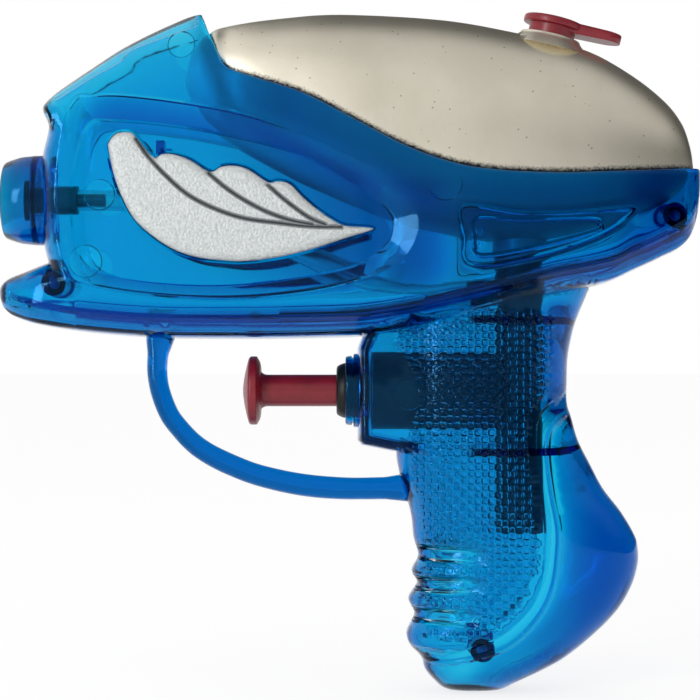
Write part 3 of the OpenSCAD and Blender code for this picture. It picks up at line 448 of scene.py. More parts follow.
def form_lines(d):
    """The edges of every part of the shell in the side view, set in by d."""
    x = np.concatenate([np.linspace(NOSE, -71, 16), np.linspace(-70.2, 70, 176), np.linspace(70.5, TAIL, 16)])
    fin_x = np.linspace(NOSE, -60, 26)
    fair_x = np.concatenate([np.linspace(-66, -62, 12), np.linspace(-61, -30, 40)])
    z = np.linspace(90, 128, 58)
    up = np.concatenate([np.linspace(0, 5, 16), np.linspace(5.5, 88.4, 138)])
    level = grip_level(up, d)
    near, corner = SADDLE + 0.1, -29.0
    for _ in range(50):
        middle = np.array([(near + corner) / 2])
        above = through(SEAM, middle)[0] > through(FAIRING, middle)[0] - ROOF_THIN * WALL
        near, corner = (middle[0], corner) if above else (near, middle[0])
    if d:
        fair_x = np.sort(np.append(fair_x, corner))
    seam_x = np.concatenate([np.linspace(SADDLE, -25, 24), np.linspace(-24, TAIL, 120),
                             [corner, TAIL - WALL]])
    seam_x.sort()
    lines = [np.stack([x, through(KEEL, x) + d], 1), np.stack([fin_x, through(FIN_TOP, fin_x) - d], 1),
             np.stack([through(FRONT, z) + NOSE_THIN * d, z], 1),
             np.stack([fair_x, through(FAIRING, fair_x) - ROOF_THIN * d], 1),
             np.stack([np.full(20, TAIL - d), np.linspace(98, 113, 20)], 1),
             np.stack([through(GRIP_FRONT, level) + d, up + d], 1),
             np.stack([through(GRIP_REAR, level) - d, up + d], 1),
             np.stack([np.linspace(20, 36, 20), np.full(20, d)], 1),
             np.stack([np.full(8, NOSE + d), np.linspace(84, 88, 8)], 1)]
    block = np.array(BLOCK, float)
    if d:
        block = block + [(d, -d), (d, 0), (d, 0), (d, d), (d, d), (d, d), (d, d), (d, -d)]
    lines.append(np.concatenate([np.linspace(a, b, max(2, int(np.hypot(*(b - a)) / 0.7)), endpoint=False)
                                 for a, b in zip(block, np.roll(block, -1, 0))]))
    return lines + (guard_edges if d == 0 else []), np.stack([seam_x, through(SEAM, seam_x)], 1)


def triangles(borders, lines, points, inside):
    """Delaunay triangles over points and lines; a patch between borders stays if most of it is inside."""
    spots = [Vector(p) for p in points]
    edges = []
    for line in list(borders) + list(lines):
        first = len(spots)
        spots += [Vector(p) for p in line]
        edges += [(first + i, first + i + 1) for i in range(len(line) - 1)]
    last = sum(len(line) - 1 for line in borders)
    places, sides, faces, _, sources, _ = delaunay_2d_cdt(spots, edges, [], 0, 1e-5, True)
    border = {tuple(sorted(side)) for side, source in zip(sides, sources) if any(e < last for e in source)}
    patch = list(range(len(faces)))

    def root(i):
        while patch[i] != i:
            patch[i] = patch[patch[i]]
            i = patch[i]
        return i

    beside = {}
    for i, face in enumerate(faces):
        for a, b in zip(face, face[1:] + face[:1]):
            side = (a, b) if a < b else (b, a)
            if side in beside:
                if side not in border:
                    patch[root(i)] = root(beside[side])
            else:
                beside[side] = i
    label = np.array([root(i) for i in range(len(faces))])
    places, faces = np.array([tuple(v) for v in places]), np.array(faces)
    a, b, c = places[faces[:, 0]], places[faces[:, 1]], places[faces[:, 2]]
    area = np.abs((b[:, 0] - a[:, 0]) * (c[:, 1] - a[:, 1]) - (c[:, 0] - a[:, 0]) * (b[:, 1] - a[:, 1]))
    vote = np.zeros(len(faces))
    np.add.at(vote, label, np.where(inside(*((a + b + c) / 3).T), area, -area))
    faces = faces[vote[label] > 0]
    used = np.unique(faces)
    slot = np.full(len(places), -1)
    slot[used] = np.arange(len(used))
    return places[used], slot[faces]


def rim_of(faces):
    """Edges that only one triangle uses, in that triangle's direction."""
    edges = np.concatenate([faces[:, [0, 1]], faces[:, [1, 2]], faces[:, [2, 0]]])
    keys = np.sort(edges, 1)
    _, index, count = np.unique(keys, axis=0, return_index=True, return_counts=True)
    return edges[index[count == 1]]


def spread(x, z, gap):
    """A honeycomb of points over a box of the side view."""
    rows = np.arange(z[0], z[1], gap * 0.866)
    across = np.arange(x[0], x[1], gap)
    grid = [np.stack([across + (gap / 2 if i % 2 else 0), np.full(len(across), r)], 1)
            for i, r in enumerate(rows)]
    return np.concatenate(grid)


def finder(points):
    """A tree that finds the nearest of some points of the side view."""
    tree = kdtree.KDTree(len(points))
    for i, p in enumerate(points):
        tree.insert((p[0], p[1], 0), i)
    tree.balance()
    return tree


def thinned(points, taken, gap):
    """The points that keep their distance from those already taken."""
    tree = finder(taken)
    return np.array([p for p in points if tree.find((p[0], p[1], 0))[2] > gap]).reshape(-1, 2)


def surface(d, height, feature_lines, feature_points, gap):
    """Triangles of one side of the wall, closer together along edges and features."""
    edges, seam = form_lines(d)

    def inside(x, z):
        return covers(x, z, d)

    places, faces = triangles(edges + [seam], [], [], inside)
    rim = rim_of(faces)
    way = places[rim[:, 1]] - places[rim[:, 0]]
    inward = np.stack([-way[:, 1], way[:, 0]], 1) / (np.hypot(*way.T)[:, None] + 1e-9)
    turn = np.zeros((len(places), 2))
    np.add.at(turn, rim[:, 0], inward)
    np.add.at(turn, rim[:, 1], inward)
    on_rim = np.unique(rim)
    base, turn = places[on_rim], turn[on_rim] / (np.hypot(*turn[on_rim].T)[:, None] + 1e-9)
    tree = finder(base)
    rows = []
    for step in (0.03, 0.12, 0.3, 0.55, 0.9, 1.4, 2.0):
        row = base + turn * step
        rows += [p for p in row if tree.find((p[0], p[1], 0))[2] > 0.8 * step]
    rows = np.array(rows)
    rows = rows[inside(*rows.T)]
    taken = np.concatenate([base, rows] + feature_lines + [feature_points])
    fill = spread((NOSE - 1, TAIL + 1), (-1, 147), gap)
    fill = fill[inside(*fill.T)]
    fill = thinned(fill, taken, 0.7 * gap)
    points = np.concatenate([rows, feature_points, fill])
    places, faces = triangles(edges + [seam], feature_lines, points, inside)
    h = height(places[:, 0], places[:, 1])
    rim = rim_of(faces)
    edge = np.unique(rim)
    open_edge = np.zeros(len(places), bool)
    open_edge[edge] = distance(*places[edge].T, seam, False) < SAME_PLACE
    closed_edge = np.zeros(len(places), bool)
    closed_edge[rim[~open_edge[rim].all(1)]] = True
    h = np.where(closed_edge, 0, np.maximum(h, 0))
    return places, faces, h, rim, open_edge


def meeting(d):
    """Lines along which the grip and the block run into the body, set in by d."""
    x = np.linspace(3.2 + d, 50 - d, 90)
    low, high = through(KEEL, x) + d, through(KEEL, x) + 9
    for _ in range(30):
        mid = (low + high) / 2
        under = body_height(x, mid, d) < np.maximum(grip_height(x, mid, d), block_height(x, mid, d))
        low, high = np.where(under, mid, low), np.where(under, high, mid)
    return [np.stack([x, mid + s], 1) for s in (-0.5, -0.2, 0, 0.25)]


def texture_points():
    """Points at the middle and at the rounded sides of every square of the pressed pattern."""
    cells = np.mgrid[0:40, 0:70].reshape(2, -1).T
    small = (cells.sum(1) % 2)[:, None, None]
    offsets = np.where(small, [-0.72, -0.5, -0.33, 0, 0.33, 0.5], [-0.72, -0.62, -0.46, 0, 0.46, 0.62])
    u, v = offsets[:, 0, :, None], offsets[:, 0, None, :]
    px = ((cells[:, 0] + 0.5) * TEXTURE_PITCH)[:, None, None] + u + 0 * v
    pz = ((cells[:, 1] + 0.5) * TEXTURE_PITCH)[:, None, None] + v + 0 * u
    at = np.stack([px.ravel(), pz.ravel()], 1)
    return at[(distance(*at.T, texture_loop, True) > 0.05) & on_grip(*at.T) & (in_slot(*at.T) < -0.4)]


def half_shell():
    """One half without its posts: outside, inside, flat meeting face and the edge along the tank."""
    x = np.linspace(-73, 73.5, 260)
    scale = bevel_scale(np.maximum(through(FAIRING, x) - through(KEEL, x), 0.1))

    def over_keel(start, heights):
        return [np.stack([x, through(KEEL, x) + start + s * scale], 1) for s in heights]

    loops = [dish_rim, dish_floor, triangle_rim, triangle_floor]
    ways = (EDGE_WIDE, -EDGE_WIDE, TRIANGLE_EDGE, -TRIANGLE_EDGE)
    drops = [inset(loop, s * way) for loop, way in zip(loops, ways) for s in (-0.25, 0.33, 0.66, 1, 1.25)]
    loops, drops = [[closed(loop) for loop in group] for group in (loops, drops)]
    step = np.diff(panel_edge, axis=0, append=2 * panel_edge[-1:] - panel_edge[-2:-1])
    step = np.stack([step[:, 1], -step[:, 0]], 1) / np.hypot(*step.T)[:, None]
    bead_way, brow_way = sideways(tail_bead), sideways(brow)
    lines = over_keel(0, (4.1, 4.4, 4.75, 5.1, 5.45, 5.8, 6.1)) + meeting(0) + loops + drops
    lines += [panel_edge, panel_edge - 0.5 * step]
    lines += [tail_bead + s * bead_way for s in (-0.75, -0.35, 0, 0.35, 0.75)]
    lines += [brow - s * brow_way for s in (-0.15, 0, 0.2, 0.4, 0.55)]
    lines += [closed(inset(wing_loop, s)) for s in (0.1, 0, -0.3, -0.6, -0.75)]
    for loop in slot_loops:
        out = loop - loop.mean(0)
        lines += [loop, loop - [0, 0.6] * np.sign(out) - [0.5, 0] * (out > 5)]
    out_at, out_faces, out_h, rim, open_edge = surface(0, outer_height, lines, texture_points(), 1.2)

    circles = []
    for cx, cz, r in EJECTOR_MARKS:
        for radius in (r + 0.12, r, r - 0.08, r - 0.15, r - 0.28):
            turn = np.linspace(0, 2 * math.pi, 49)
            circles.append(np.stack([cx + radius * np.cos(turn), cz + radius * np.sin(turn)], 1))
    rings = [inset(loop, s * way) for loop, way in ((dish_rim, 1), (dish_floor, -1))
             for s in (-0.4, 0.3, 0.6, 0.95)]
    rings += [inset(triangle_rim, s) for s in (-1.2, -0.75, -0.3, 0.05, 0.4, 0.75, 1.1)]
    rings += [inset(triangle_floor, s) for s in (-1.2, -0.85, -0.5, -0.15, 0.2, 0.6)]
    lines = loops + circles + meeting(WALL) + [tail_bead - s * bead_way for s in (0.3, 1.2, 2.2)]
    lines += [closed(loop) for loop in rings]
    lines += over_keel(WALL, (2.4, 2.52, 2.65, 3, 3.35, 3.48, 3.6, 4.4, 5.0, 5.8))
    in_at, in_faces, in_h, in_rim, _ = surface(WALL, inner_height, lines, np.zeros((0, 2)), 1.5)

    flat_at, flat_faces = triangles([out_at[e] for e in rim] + [in_at[e] for e in in_rim], [], [],
                                    lambda px, pz: covers(px, pz, 0) & ~covers(px, pz, WALL))
    sides = ((out_at, out_h), (in_at, in_h), (flat_at, 0 * flat_at[:, 0]))
    spots = [np.stack([at[:, 0], h, at[:, 1]], 1) for at, h in sides]
    faces = [tuple(f) for f in out_faces] + [tuple(f[::-1] + len(out_at)) for f in in_faces]
    faces += [tuple(f[::-1] + len(out_at) + len(in_at)) for f in flat_faces]
    count = sum(len(s) for s in spots)
    strip = np.array([e for e in rim if open_edge[e].all()])
    ends = np.unique(strip)
    below = np.zeros(len(ends))
    tree = finder(in_at)
    for i, e in enumerate(ends):
        _, j, away = tree.find((*out_at[e], 0))
        below[i] = in_h[j] if away < SAME_PLACE else 0
    spots.append(np.stack([out_at[ends, 0], below, out_at[ends, 1]], 1))
    lower = {e: count + i for i, e in enumerate(ends)}
    faces += [(b, a, lower[a], lower[b]) for a, b in strip]
    return np.concatenate(spots), faces


def placed(name, data):
    """A new object in the scene, at the origin."""
    made = bpy.data.objects.new(name, data)
    bpy.context.scene.collection.objects.link(made)
    return made


def solid(name, spots, faces):
    """A closed mesh object from places in millimetres, with its doubles merged and its faces outward."""
    mesh = bpy.data.meshes.new(name)
    mesh.from_pydata((np.array(spots, float) * MM).tolist(), [], [tuple(map(int, f)) for f in faces])
    work = bmesh.new()
    work.from_mesh(mesh)
    bmesh.ops.remove_doubles(work, verts=work.verts, dist=MERGE)
    doubled = {}
    for face in work.faces:
        doubled.setdefault(frozenset(v.index for v in face.verts), []).append(face)
    extra = [face for same in doubled.values() if len(same) > 1 for face in same]
    bmesh.ops.delete(work, geom=extra, context="FACES")
    bmesh.ops.recalc_face_normals(work, faces=work.faces)
    work.to_mesh(mesh)
    work.free()
    return placed(name, mesh)


def evaluated(piece):
    """A plain mesh of a piece with its modifiers carried out."""
    return bpy.data.meshes.new_from_object(piece.evaluated_get(bpy.context.evaluated_depsgraph_get()))


def combined(piece, others, operation):
    """Joins other solids to a piece, or cuts them out of it, and then removes them."""
    for other in others:
        change = piece.modifiers.new("change", "BOOLEAN")
        change.operation, change.solver, change.object = operation, "MANIFOLD", other
    old, piece.data = piece.data, evaluated(piece)
    piece.modifiers.clear()
    bpy.data.meshes.remove(old)
    for other in others:
        bpy.data.objects.remove(other)


def smoothed(piece, degrees):
    """Shades a piece smooth, with edges kept sharp past an angle."""
    piece.data.shade_smooth()
    piece.data.set_sharp_from_angle(angle=math.radians(degrees))


def rounded(profile, steps=4):
    """A profile of (along, radius) points, where a third number rounds that corner."""
    made = []
    for i, point in enumerate(profile):
        at = np.array(point[:2], float)
        if len(point) < 3 or i in (0, len(profile) - 1):
            made.append(at)
            continue
        before, after = np.array(profile[i - 1][:2]) - at, np.array(profile[i + 1][:2]) - at
        first = at + before * min(0.5, point[2] / np.hypot(*before))
        last = at + after * min(0.5, point[2] / np.hypot(*after))
        made += [first * (1 - t) ** 2 + 2 * at * t * (1 - t) + last * t ** 2
                 for t in np.linspace(0, 1, steps + 1)]
    return made


def band_faces(pairs, count, sides=None):
    """Faces between pairs of rings that have count points each."""
    return [(a * count + i, a * count + (i + 1) % count, b * count + (i + 1) % count, b * count + i)
            for a, b in pairs for i in range(sides or count)]


def turned(name, profile, origin, axis, steps=64, half=False):
    """A solid turned from a profile; a ring if it starts away from the axis. A half keeps the +Y side."""
    axis = Vector(axis).normalized()
    across = Vector((1, 0, 0)) if abs(axis.y) > 0.9 else Vector((0, 1, 0))
    up = axis.cross(across)
    count = steps // 2 + 1 if half else steps
    angles = np.linspace(-math.pi / 2, math.pi / 2, count) if half else np.arange(steps) * 2 * math.pi / steps
    spots = [Vector(origin) + axis * a + across * r * math.cos(t) + up * r * math.sin(t)
             for a, r in profile for t in angles]
    n = len(profile)
    rows = range(n if profile[0][1] > 0 else n - 1)
    faces = band_faces([(k, (k + 1) % n) for k in rows], count, count - 1 if half else count)
    if half:
        faces += [tuple(k * count + i for k in range(n)) for i in (0, count - 1)]
    return solid(name, spots, faces)


def plug(name, start, stop, radius, origin, axis, steps=64):
    """A plain round bar between two places along an axis, to join or to cut."""
    return turned(name, [(start, 0), (start, radius), (stop, radius), (stop, 0)], origin, axis, steps)


def box(name, x, y, z):
    """A plain box between two places along each axis, to join or to cut."""
    corners = ((x[0], z[0]), (x[1], z[0]), (x[1], z[1]), (x[0], z[1]))
    faces = [(3, 2, 1, 0), (4, 5, 6, 7)] + band_faces([(0, 1)], 4)
    return solid(name, [(a, b, c) for b in y for a, c in corners], faces)


RIB_LEVELS, RIB_ENDS, RIB_STEPS = (51.6, 79.6), (25.6, 49.6), 60
RIB_HALF, RIB_BORE = 0.8, 5.3


def rib(level):
    """One cross rib beside the valve column, from the column out to the shell."""
    x = np.linspace(*RIB_ENDS, RIB_STEPS)
    outer = inner_height(x, np.full(RIB_STEPS, level)) + 0.3
    inner = np.sqrt(np.clip(RIB_BORE ** 2 - (x - COLUMN_X) ** 2, 0.02 ** 2, None))
    ok = outer > inner + 0.5
    spots = [(a, y, level + s) for a, i, o in zip(x[ok], inner[ok], outer[ok])
             for y, s in ((i, -RIB_HALF), (o, -RIB_HALF), (o, RIB_HALF), (i, RIB_HALF))]
    faces = band_faces([(k, k + 1) for k in range(ok.sum() - 1)], 4)
    return solid("rib", spots, faces + [(3, 2, 1, 0), tuple(len(spots) - 4 + i for i in range(4))])


def into_wall(x, z):
    """How far out a post has to go to end inside the wall."""
    return float(inner_height(np.array([x]), np.array([z]))[0]) + 0.4


# The muzzle's ring, the collar around the rod, a small peg and two ribs join each half, then posts for screws.
POST_FOOT, POST_RADIUS, SOCKET_RADIUS, SEAT = 0.03, 3, 2.6, 1.5
HALF_GAP = 0.02
at_nozzle, at_pump, level_way = (0, 0, NOZZLE_Z), (0, 0, PUMP_Z), (1, 0, 0)
half = solid("right_body_shell", *half_shell())
muzzle = rounded([(-67.4, 0), (-67.4, 7.3, 0.5), (-73.7, 7.3, 0.3), (-74.05, 7.7, 0.3), (-73.6, 8.2, 0.3),
                  (-72.6, 8.6), (-71.3, 9.03), (-70, 9.35), (-67.4, 9.6), (-64.2, 9.7), (-64.2, 0)])
collar = rounded([(-0.9, 0), (-0.9, 7.3, 0.4), (0.5, 7.5, 0.3), (0.5, 7.1), (0.8, 7.1), (0.8, 7.9, 0.4),
                  (2.6, 7.9), (2.6, 0)])
joining = [box("peg", (-40.5, -38.8), (6.5, into_wall(-39.6, 115.2)), (113.4, 117)),
           turned("muzzle", muzzle, at_nozzle, level_way, 96, True),
           turned("collar", collar, at_pump, level_way, 96, True)]
combined(half, joining + [rib(level) for level in RIB_LEVELS], "UNION")
combined(half, [plug("bore", -68, -60, 3.1, at_nozzle, level_way),
                plug("relief", -66.5, -63, 7.2, at_nozzle, level_way, 96),
                plug("bore", -2, 4.6, 5.95, at_pump, level_way)], "DIFFERENCE")
half.data.transform(Matrix.Translation((0, HALF_GAP * MM, 0)))
other = half.data.copy()
other.transform(Matrix.Scale(-1, 4, (0, 1, 0)))
other.flip_normals()
left = placed("left_body_shell", other)
posts, wells, sockets, holes = [], [], [], []
for sx, sz in SCREWS:
    top = into_wall(sx, sz)
    well = [(-1, 0), (-1, 1.3), (SEAT, 1.3), (SEAT, 2.4), (20, 2.4), (20, 0)]
    posts.append(plug("post", POST_FOOT, top, POST_RADIUS, (sx, 0, sz), (0, 1, 0), 40))
    sockets.append(plug("post", POST_FOOT, top, SOCKET_RADIUS, (sx, 0, sz), (0, -1, 0), 40))
    wells.append(turned("well", rounded(well), (sx, 0, sz), (0, 1, 0), 40))
    holes.append(plug("hole", -1, 7.5, 1.2, (sx, 0, sz), (0, -1, 0), 40))
combined(half, posts, "UNION")
combined(half, wells, "DIFFERENCE")
combined(left, sockets, "UNION")
combined(left, holes, "DIFFERENCE")
for piece, node in ((left, "left_shell"), (half, "right_shell")):
    smoothed(piece, 40)
    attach(piece, "frame")
    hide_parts(node)


def linear(code):
    """An sRGB hex colour as linear red, green, blue and 1."""
    parts = [int(code[i:i + 2], 16) / 255 for i in (1, 3, 5)]
    return [c / 12.92 if c <= 0.04045 else ((c + 0.055) / 1.055) ** 2.4 for c in parts] + [1]


def feed(node, sockets):
    """Gives a node's sockets plain values, other nodes' outputs, or the main output of other nodes."""
    for name, value in sockets.items():
        if isinstance(value, bpy.types.Node):
            value = next(output for output in value.outputs if output.enabled)
        if isinstance(value, bpy.types.NodeSocket):
            node.id_data.links.new(value, node.inputs[name])
        else:
            node.inputs[name].default_value = value


def add(tree, kind, sockets=None, stops=(), **settings):
    """Adds a node with its settings, what goes into its sockets, and the stops of a colour ramp."""
    node = tree.nodes.new(kind)
    for name, value in settings.items():
        setattr(node, name, value)
    for element, (position, code) in zip(node.color_ramp.elements if stops else (), stops):
        element.position, element.color = position, linear(code)
    feed(node, sockets or {})
    return node


def finish(name, **values):
    """A new material: its nodes, its surface with plain values set, and the place its patterns follow."""
    made = bpy.data.materials.new(name)
    made.use_nodes = True
    tree, skin = made.node_tree, made.node_tree.nodes["Principled BSDF"]
    feed(skin, {socket.replace("_", " ").replace("Ior", "IOR"): value for socket, value in values.items()})
    return made, tree, skin, add(tree, "ShaderNodeTexCoord").outputs["Object"]


def dressed(piece, look):
    """Gives a piece one material."""
    piece.data.materials.clear()
    piece.data.materials.append(look)


def clear_to_lamps(tree, skin, tint):
    """Lets the lamps' light through a clear plastic with a tint, so that it throws a pale shadow."""
    lamp_ray = add(tree, "ShaderNodeLightPath").outputs["Is Shadow Ray"]
    open_way = add(tree, "ShaderNodeBsdfTransparent", {"Color": linear(tint)})
    either = add(tree, "ShaderNodeMixShader", {0: lamp_ray, 1: skin, 2: open_way})
    feed(tree.nodes["Material Output"], {"Surface": either})


# Dyed polystyrene, moulded in polished steel: the dye shows with depth, so a wall is sky blue and violet when
# seen edge-on. Flow waves of about 6 mm bend the light a little, and faint handling haze dulls the gloss.
blue_plastic, tree, skin, place = finish("clear_blue_polystyrene", Base_Color=linear("#f4fbff"), Ior=1.45,
                                         Transmission_Weight=1, Specular_Ior_Level=0.4,
                                         Specular_Tint=linear("#6cc0ff"))
haze = add(tree, "ShaderNodeTexNoise", {"Vector": place, "Scale": 160, "Detail": 4})
haze = add(tree, "ShaderNodeMapRange", {"Value": haze, "From Min": 0.35, "From Max": 0.7, "To Min": 0.03,
                                        "To Max": 0.1})
waves = add(tree, "ShaderNodeTexNoise", {"Vector": place, "Scale": 150, "Detail": 1})
waves = add(tree, "ShaderNodeBump", {"Height": waves, "Strength": 0.15, "Distance": 0.0004})
feed(skin, {"Roughness": haze, "Normal": waves})
clear_to_lamps(tree, skin, "#86b8dc")
dye = add(tree, "ShaderNodeVolumeAbsorption", {"Color": linear("#59eef9"), "Density": 2600})
feed(tree.nodes["Material Output"], {"Volume": dye})
dressed(left, blue_plastic)
dressed(half, blue_plastic)

# Feather ornaments: one thin silver moulding glued to the floor of the dish on each side. Each is a leaf of
# four lobes with grooves between them; it is made as a thickness over the dish floor.
FEATHERS = [[(-44.6, 117.2), (-41.9, 113.4), (-38.1, 109.3), (-33.4, 105.3), (-27.7, 102.4), (-21.9, 100.5),
             (-14.9, 99.5), (-7.6, 98.7), (-1.6, 98.6)],
            [(-29.3, 109.9), (-25.9, 107), (-21.9, 104.3), (-17.1, 101.8), (-12.4, 100.1), (-7.6, 99.1)],
            [(-16.9, 107.4), (-14.4, 105.1), (-11.5, 102.8), (-8.2, 100.5), (-4.9, 99.1)]]
GROOVE_HALF, GROOVE_DEEP = 0.6, 0.75
RIM_THICK, CROWN_THICK, CROWN_EDGE, BACK_GAP = 0.4, 0.9, 1.8, 0.02
grooves = [smooth_path(line, 0.5) for line in FEATHERS]


def groove_depth(x, z):
    """How deep the grooves between the feathers are, from 0 to 1."""
    near = np.min([distance(x, z, line, False) for line in grooves], axis=0)
    return np.clip(1 - near / GROOVE_HALF, 0, 1) ** 0.7


def wing(name, side):
    """One ornament: its face and its back over the same triangles, and the edge between them."""
    loop = closed(wing_loop)
    turn = sideways(loop)
    rows = np.concatenate([loop + turn * s for s in (0.12, 0.3, 0.6, 1, 1.5)])
    lines = [line + s * sideways(line) for line in grooves for s in (-0.6, -0.3, 0, 0.3, 0.6)]
    rows = rows[distance(*rows.T, wing_loop, True) > 0.1]
    fill = spread((-51, 6), (91, 119), 0.7)
    fill = fill[distance(*fill.T, wing_loop, True) > 0.2]
    fill = thinned(fill, np.concatenate([rows] + lines), 0.4)
    at, faces = triangles([loop], lines, np.concatenate([rows, fill]),
                          lambda x, z: distance(x, z, wing_loop, True) > 0)
    edge, base = np.maximum(distance(*at.T, wing_loop, True), 0), outer_height(*at.T)
    thick = RIM_THICK + CROWN_THICK * quarter(edge / CROWN_EDGE)
    thick = thick - GROOVE_DEEP * groove_depth(*at.T) * ease(edge / 0.4)
    n = len(at)
    spots = [np.stack([at[:, 0], side * (base + t), at[:, 1]], 1) for t in (thick, BACK_GAP + 0 * thick)]
    around = [(b, a, a + n, b + n) for a, b in rim_of(faces)]
    faces = [tuple(f) for f in faces] + [tuple(f[::-1] + n) for f in faces]
    return solid(name, np.concatenate(spots), faces + around)


# Silver-flake ABS: satin grey plastic with bright flakes of about 0.3 mm, with painted shade darkening its
# grooves.
silver_plastic, tree, skin, place = finish("silver_flake_abs", Ior=1.5, Specular_Ior_Level=0.5, Metallic=0.2)
flake = add(tree, "ShaderNodeTexVoronoi", {"Vector": place, "Scale": 3000, "Randomness": 1})
grain = add(tree, "ShaderNodeTexNoise", {"Vector": place, "Scale": 1800, "Detail": 3})
tone = add(tree, "ShaderNodeValToRGB", {"Fac": grain}, [(0.3, "#b9bebf"), (0.62, "#d2d7d6")])
# The groove attribute darkens the grooves towards #3c4046: this is painted shade.
groove_shade = add(tree, "ShaderNodeAttribute", attribute_name="groove").outputs["Fac"]
tone = add(tree, "ShaderNodeMix", {"Factor": groove_shade, 6: tone, 7: linear("#3c4046")}, data_type="RGBA")
shine = add(tree, "ShaderNodeMapRange", {"Value": flake, "To Min": 0.32, "To Max": 0.5})
rough = add(tree, "ShaderNodeBump", {"Height": grain, "Strength": 0.7, "Distance": 0.0003})
feed(skin, {"Base Color": tone, "Roughness": shine, "Normal": rough})
for piece, node in ((wing("left_feather", -1), "left_wing"), (wing("right_feather", 1), "right_wing")):
    spots = np.array([v.co for v in piece.data.vertices]) / MM
    # How deep the grooves are; the silver material turns this into painted shade.
    held = piece.data.attributes.new("groove", "FLOAT", "POINT")
    held.data.foreach_set("value", groove_depth(spots[:, 0], spots[:, 2]).astype(np.float32))
    smoothed(piece, 50)
    dressed(piece, silver_plastic)
    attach(piece, "frame")
    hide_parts(node)

# Water tank: a blow-moulded egg of silver-painted polyethylene, clamped in the saddle of the shells with its
# belly between them. The filler neck leans back from a flared foot, and its bore is open for the stopper.
NECK_X, NECK_LEAN, NECK_TOP, NECK_RING = 43, math.radians(13.6), 2.06, 0.95
TANK_WALL, TANK_MIDDLE = 1.5, 19.2
EGG_RINGS, EGG_POINTS = 90, 96
neck_at = (NECK_X, 0, float(through(ROOF, NECK_X)))
neck_way = (math.sin(NECK_LEAN), 0, math.cos(NECK_LEAN))


def egg(name, d, shrink, x0, x1):
    """The tank's form, set in by d, as rings along its length."""
    s = x0 + (x1 - x0) * (1 - np.cos(np.linspace(0, math.pi, EGG_RINGS))) / 2
    a = np.linspace(0, 2 * math.pi, EGG_POINTS, endpoint=False)
    top, low, wide, middle = tank_form(s, d)
    bend = [np.sign(v) * np.abs(v) ** 0.84 for v in (np.cos(a), np.sin(a))]
    x = np.repeat((TANK_MIDDLE + (s - TANK_MIDDLE) * shrink)[:, None], EGG_POINTS, 1)
    y = wide[:, None] * bend[0]
    z = middle[:, None] + np.where(bend[1] > 0, (top - middle)[:, None], (middle - low)[:, None]) * bend[1]
    faces = band_faces([(i, i + 1) for i in range(EGG_RINGS - 1)], EGG_POINTS)
    faces += [tuple(range(start, start + EGG_POINTS)) for start in (0, EGG_POINTS * (EGG_RINGS - 1))]
    return solid(name, np.stack([x, y, z], 2).reshape(-1, 3), faces)


tank = egg("water_tank", 0, 1, TANK_FRONT, TANK_REAR)
neck = rounded([(-2, 0), (-2, 9), (-0.7, 7.9), (0.1, 7), (0.5, 6.6), (NECK_RING, 6.4, 0.25), (NECK_RING, 0)])
combined(tank, [turned("neck", neck, neck_at, neck_way),
                plug("outlet", 93, 99, 5.9, (COLUMN_X, 0, 0), (0, 0, 1))], "UNION")
combined(tank, [egg("hollow", TANK_WALL, 1 - 2 * TANK_WALL / (TANK_REAR - TANK_FRONT), -34, 73.1),
                plug("bore", -8, 12, 4, neck_at, neck_way),
                plug("bore", 92, 106, 3.9, (COLUMN_X, 0, 0), (0, 0, 1))], "DIFFERENCE")
smoothed(tank, 35)

# Sprayed silver lacquer over milky polyethylene: fine metal flake in a clear binder, half gloss, warm grey,
# with orange peel of about 1.5 mm and specks of dust about 0.3 mm wide. Its ragged edge follows the shells
# with a dark line of painted shade, and the belly is bare grey plastic, painted darker near that edge as
# painted shade.
lacquer, tree, skin, place = finish("silver_lacquer", Metallic=0.9, Roughness=0.33)
cloud = add(tree, "ShaderNodeTexNoise", {"Vector": place, "Scale": 120, "Detail": 3})
tone = add(tree, "ShaderNodeValToRGB", {"Fac": cloud}, [(0.35, "#e6dfcc"), (0.65, "#ece5d3")])
speck = add(tree, "ShaderNodeTexVoronoi", {"Vector": place, "Scale": 420, "Randomness": 1})
speck = add(tree, "ShaderNodeMapRange", {"Value": speck, "From Min": 0.05, "From Max": 0.1, "To Min": 0.6,
                                         "To Max": 0})
tone = add(tree, "ShaderNodeMix", {"Factor": speck, 6: tone, 7: linear("#55524a")}, data_type="RGBA")
SPRAY_X, SPRAY_LONG, SPRAY_Z, SPRAY_HIGH = -32, 108, 105, 45
spot = add(tree, "ShaderNodeSeparateXYZ", {0: place}).outputs
along = add(tree, "ShaderNodeMapRange", {"Value": spot["X"], "From Min": SPRAY_X * MM,
                                         "From Max": (SPRAY_X + SPRAY_LONG) * MM})
edge = add(tree, "ShaderNodeFloatCurve", {"Value": along})
curve = edge.mapping.curves[0]
for i, (sx, sz) in enumerate(SEAM):
    at = ((sx - SPRAY_X) / SPRAY_LONG, (sz - SPRAY_Z) / SPRAY_HIGH)
    if 0 < i < len(SEAM) - 1:
        curve.points.new(*at)
    else:
        curve.points[0 if i == 0 else -1].location = at
edge.mapping.update()
rise = add(tree, "ShaderNodeMapRange", {"Value": spot["Z"], "From Min": SPRAY_Z * MM,
                                        "From Max": (SPRAY_Z + SPRAY_HIGH) * MM})
rise = add(tree, "ShaderNodeMath", {0: rise, 1: edge}, operation="SUBTRACT")
spray = add(tree, "ShaderNodeTexNoise", {"Vector": place, "Scale": 2200, "Detail": 2})
spray = add(tree, "ShaderNodeMath", {0: spray, 1: 0.03, 2: -0.015}, operation="MULTIPLY_ADD")
ragged = add(tree, "ShaderNodeMath", {0: rise, 1: spray}, operation="ADD")
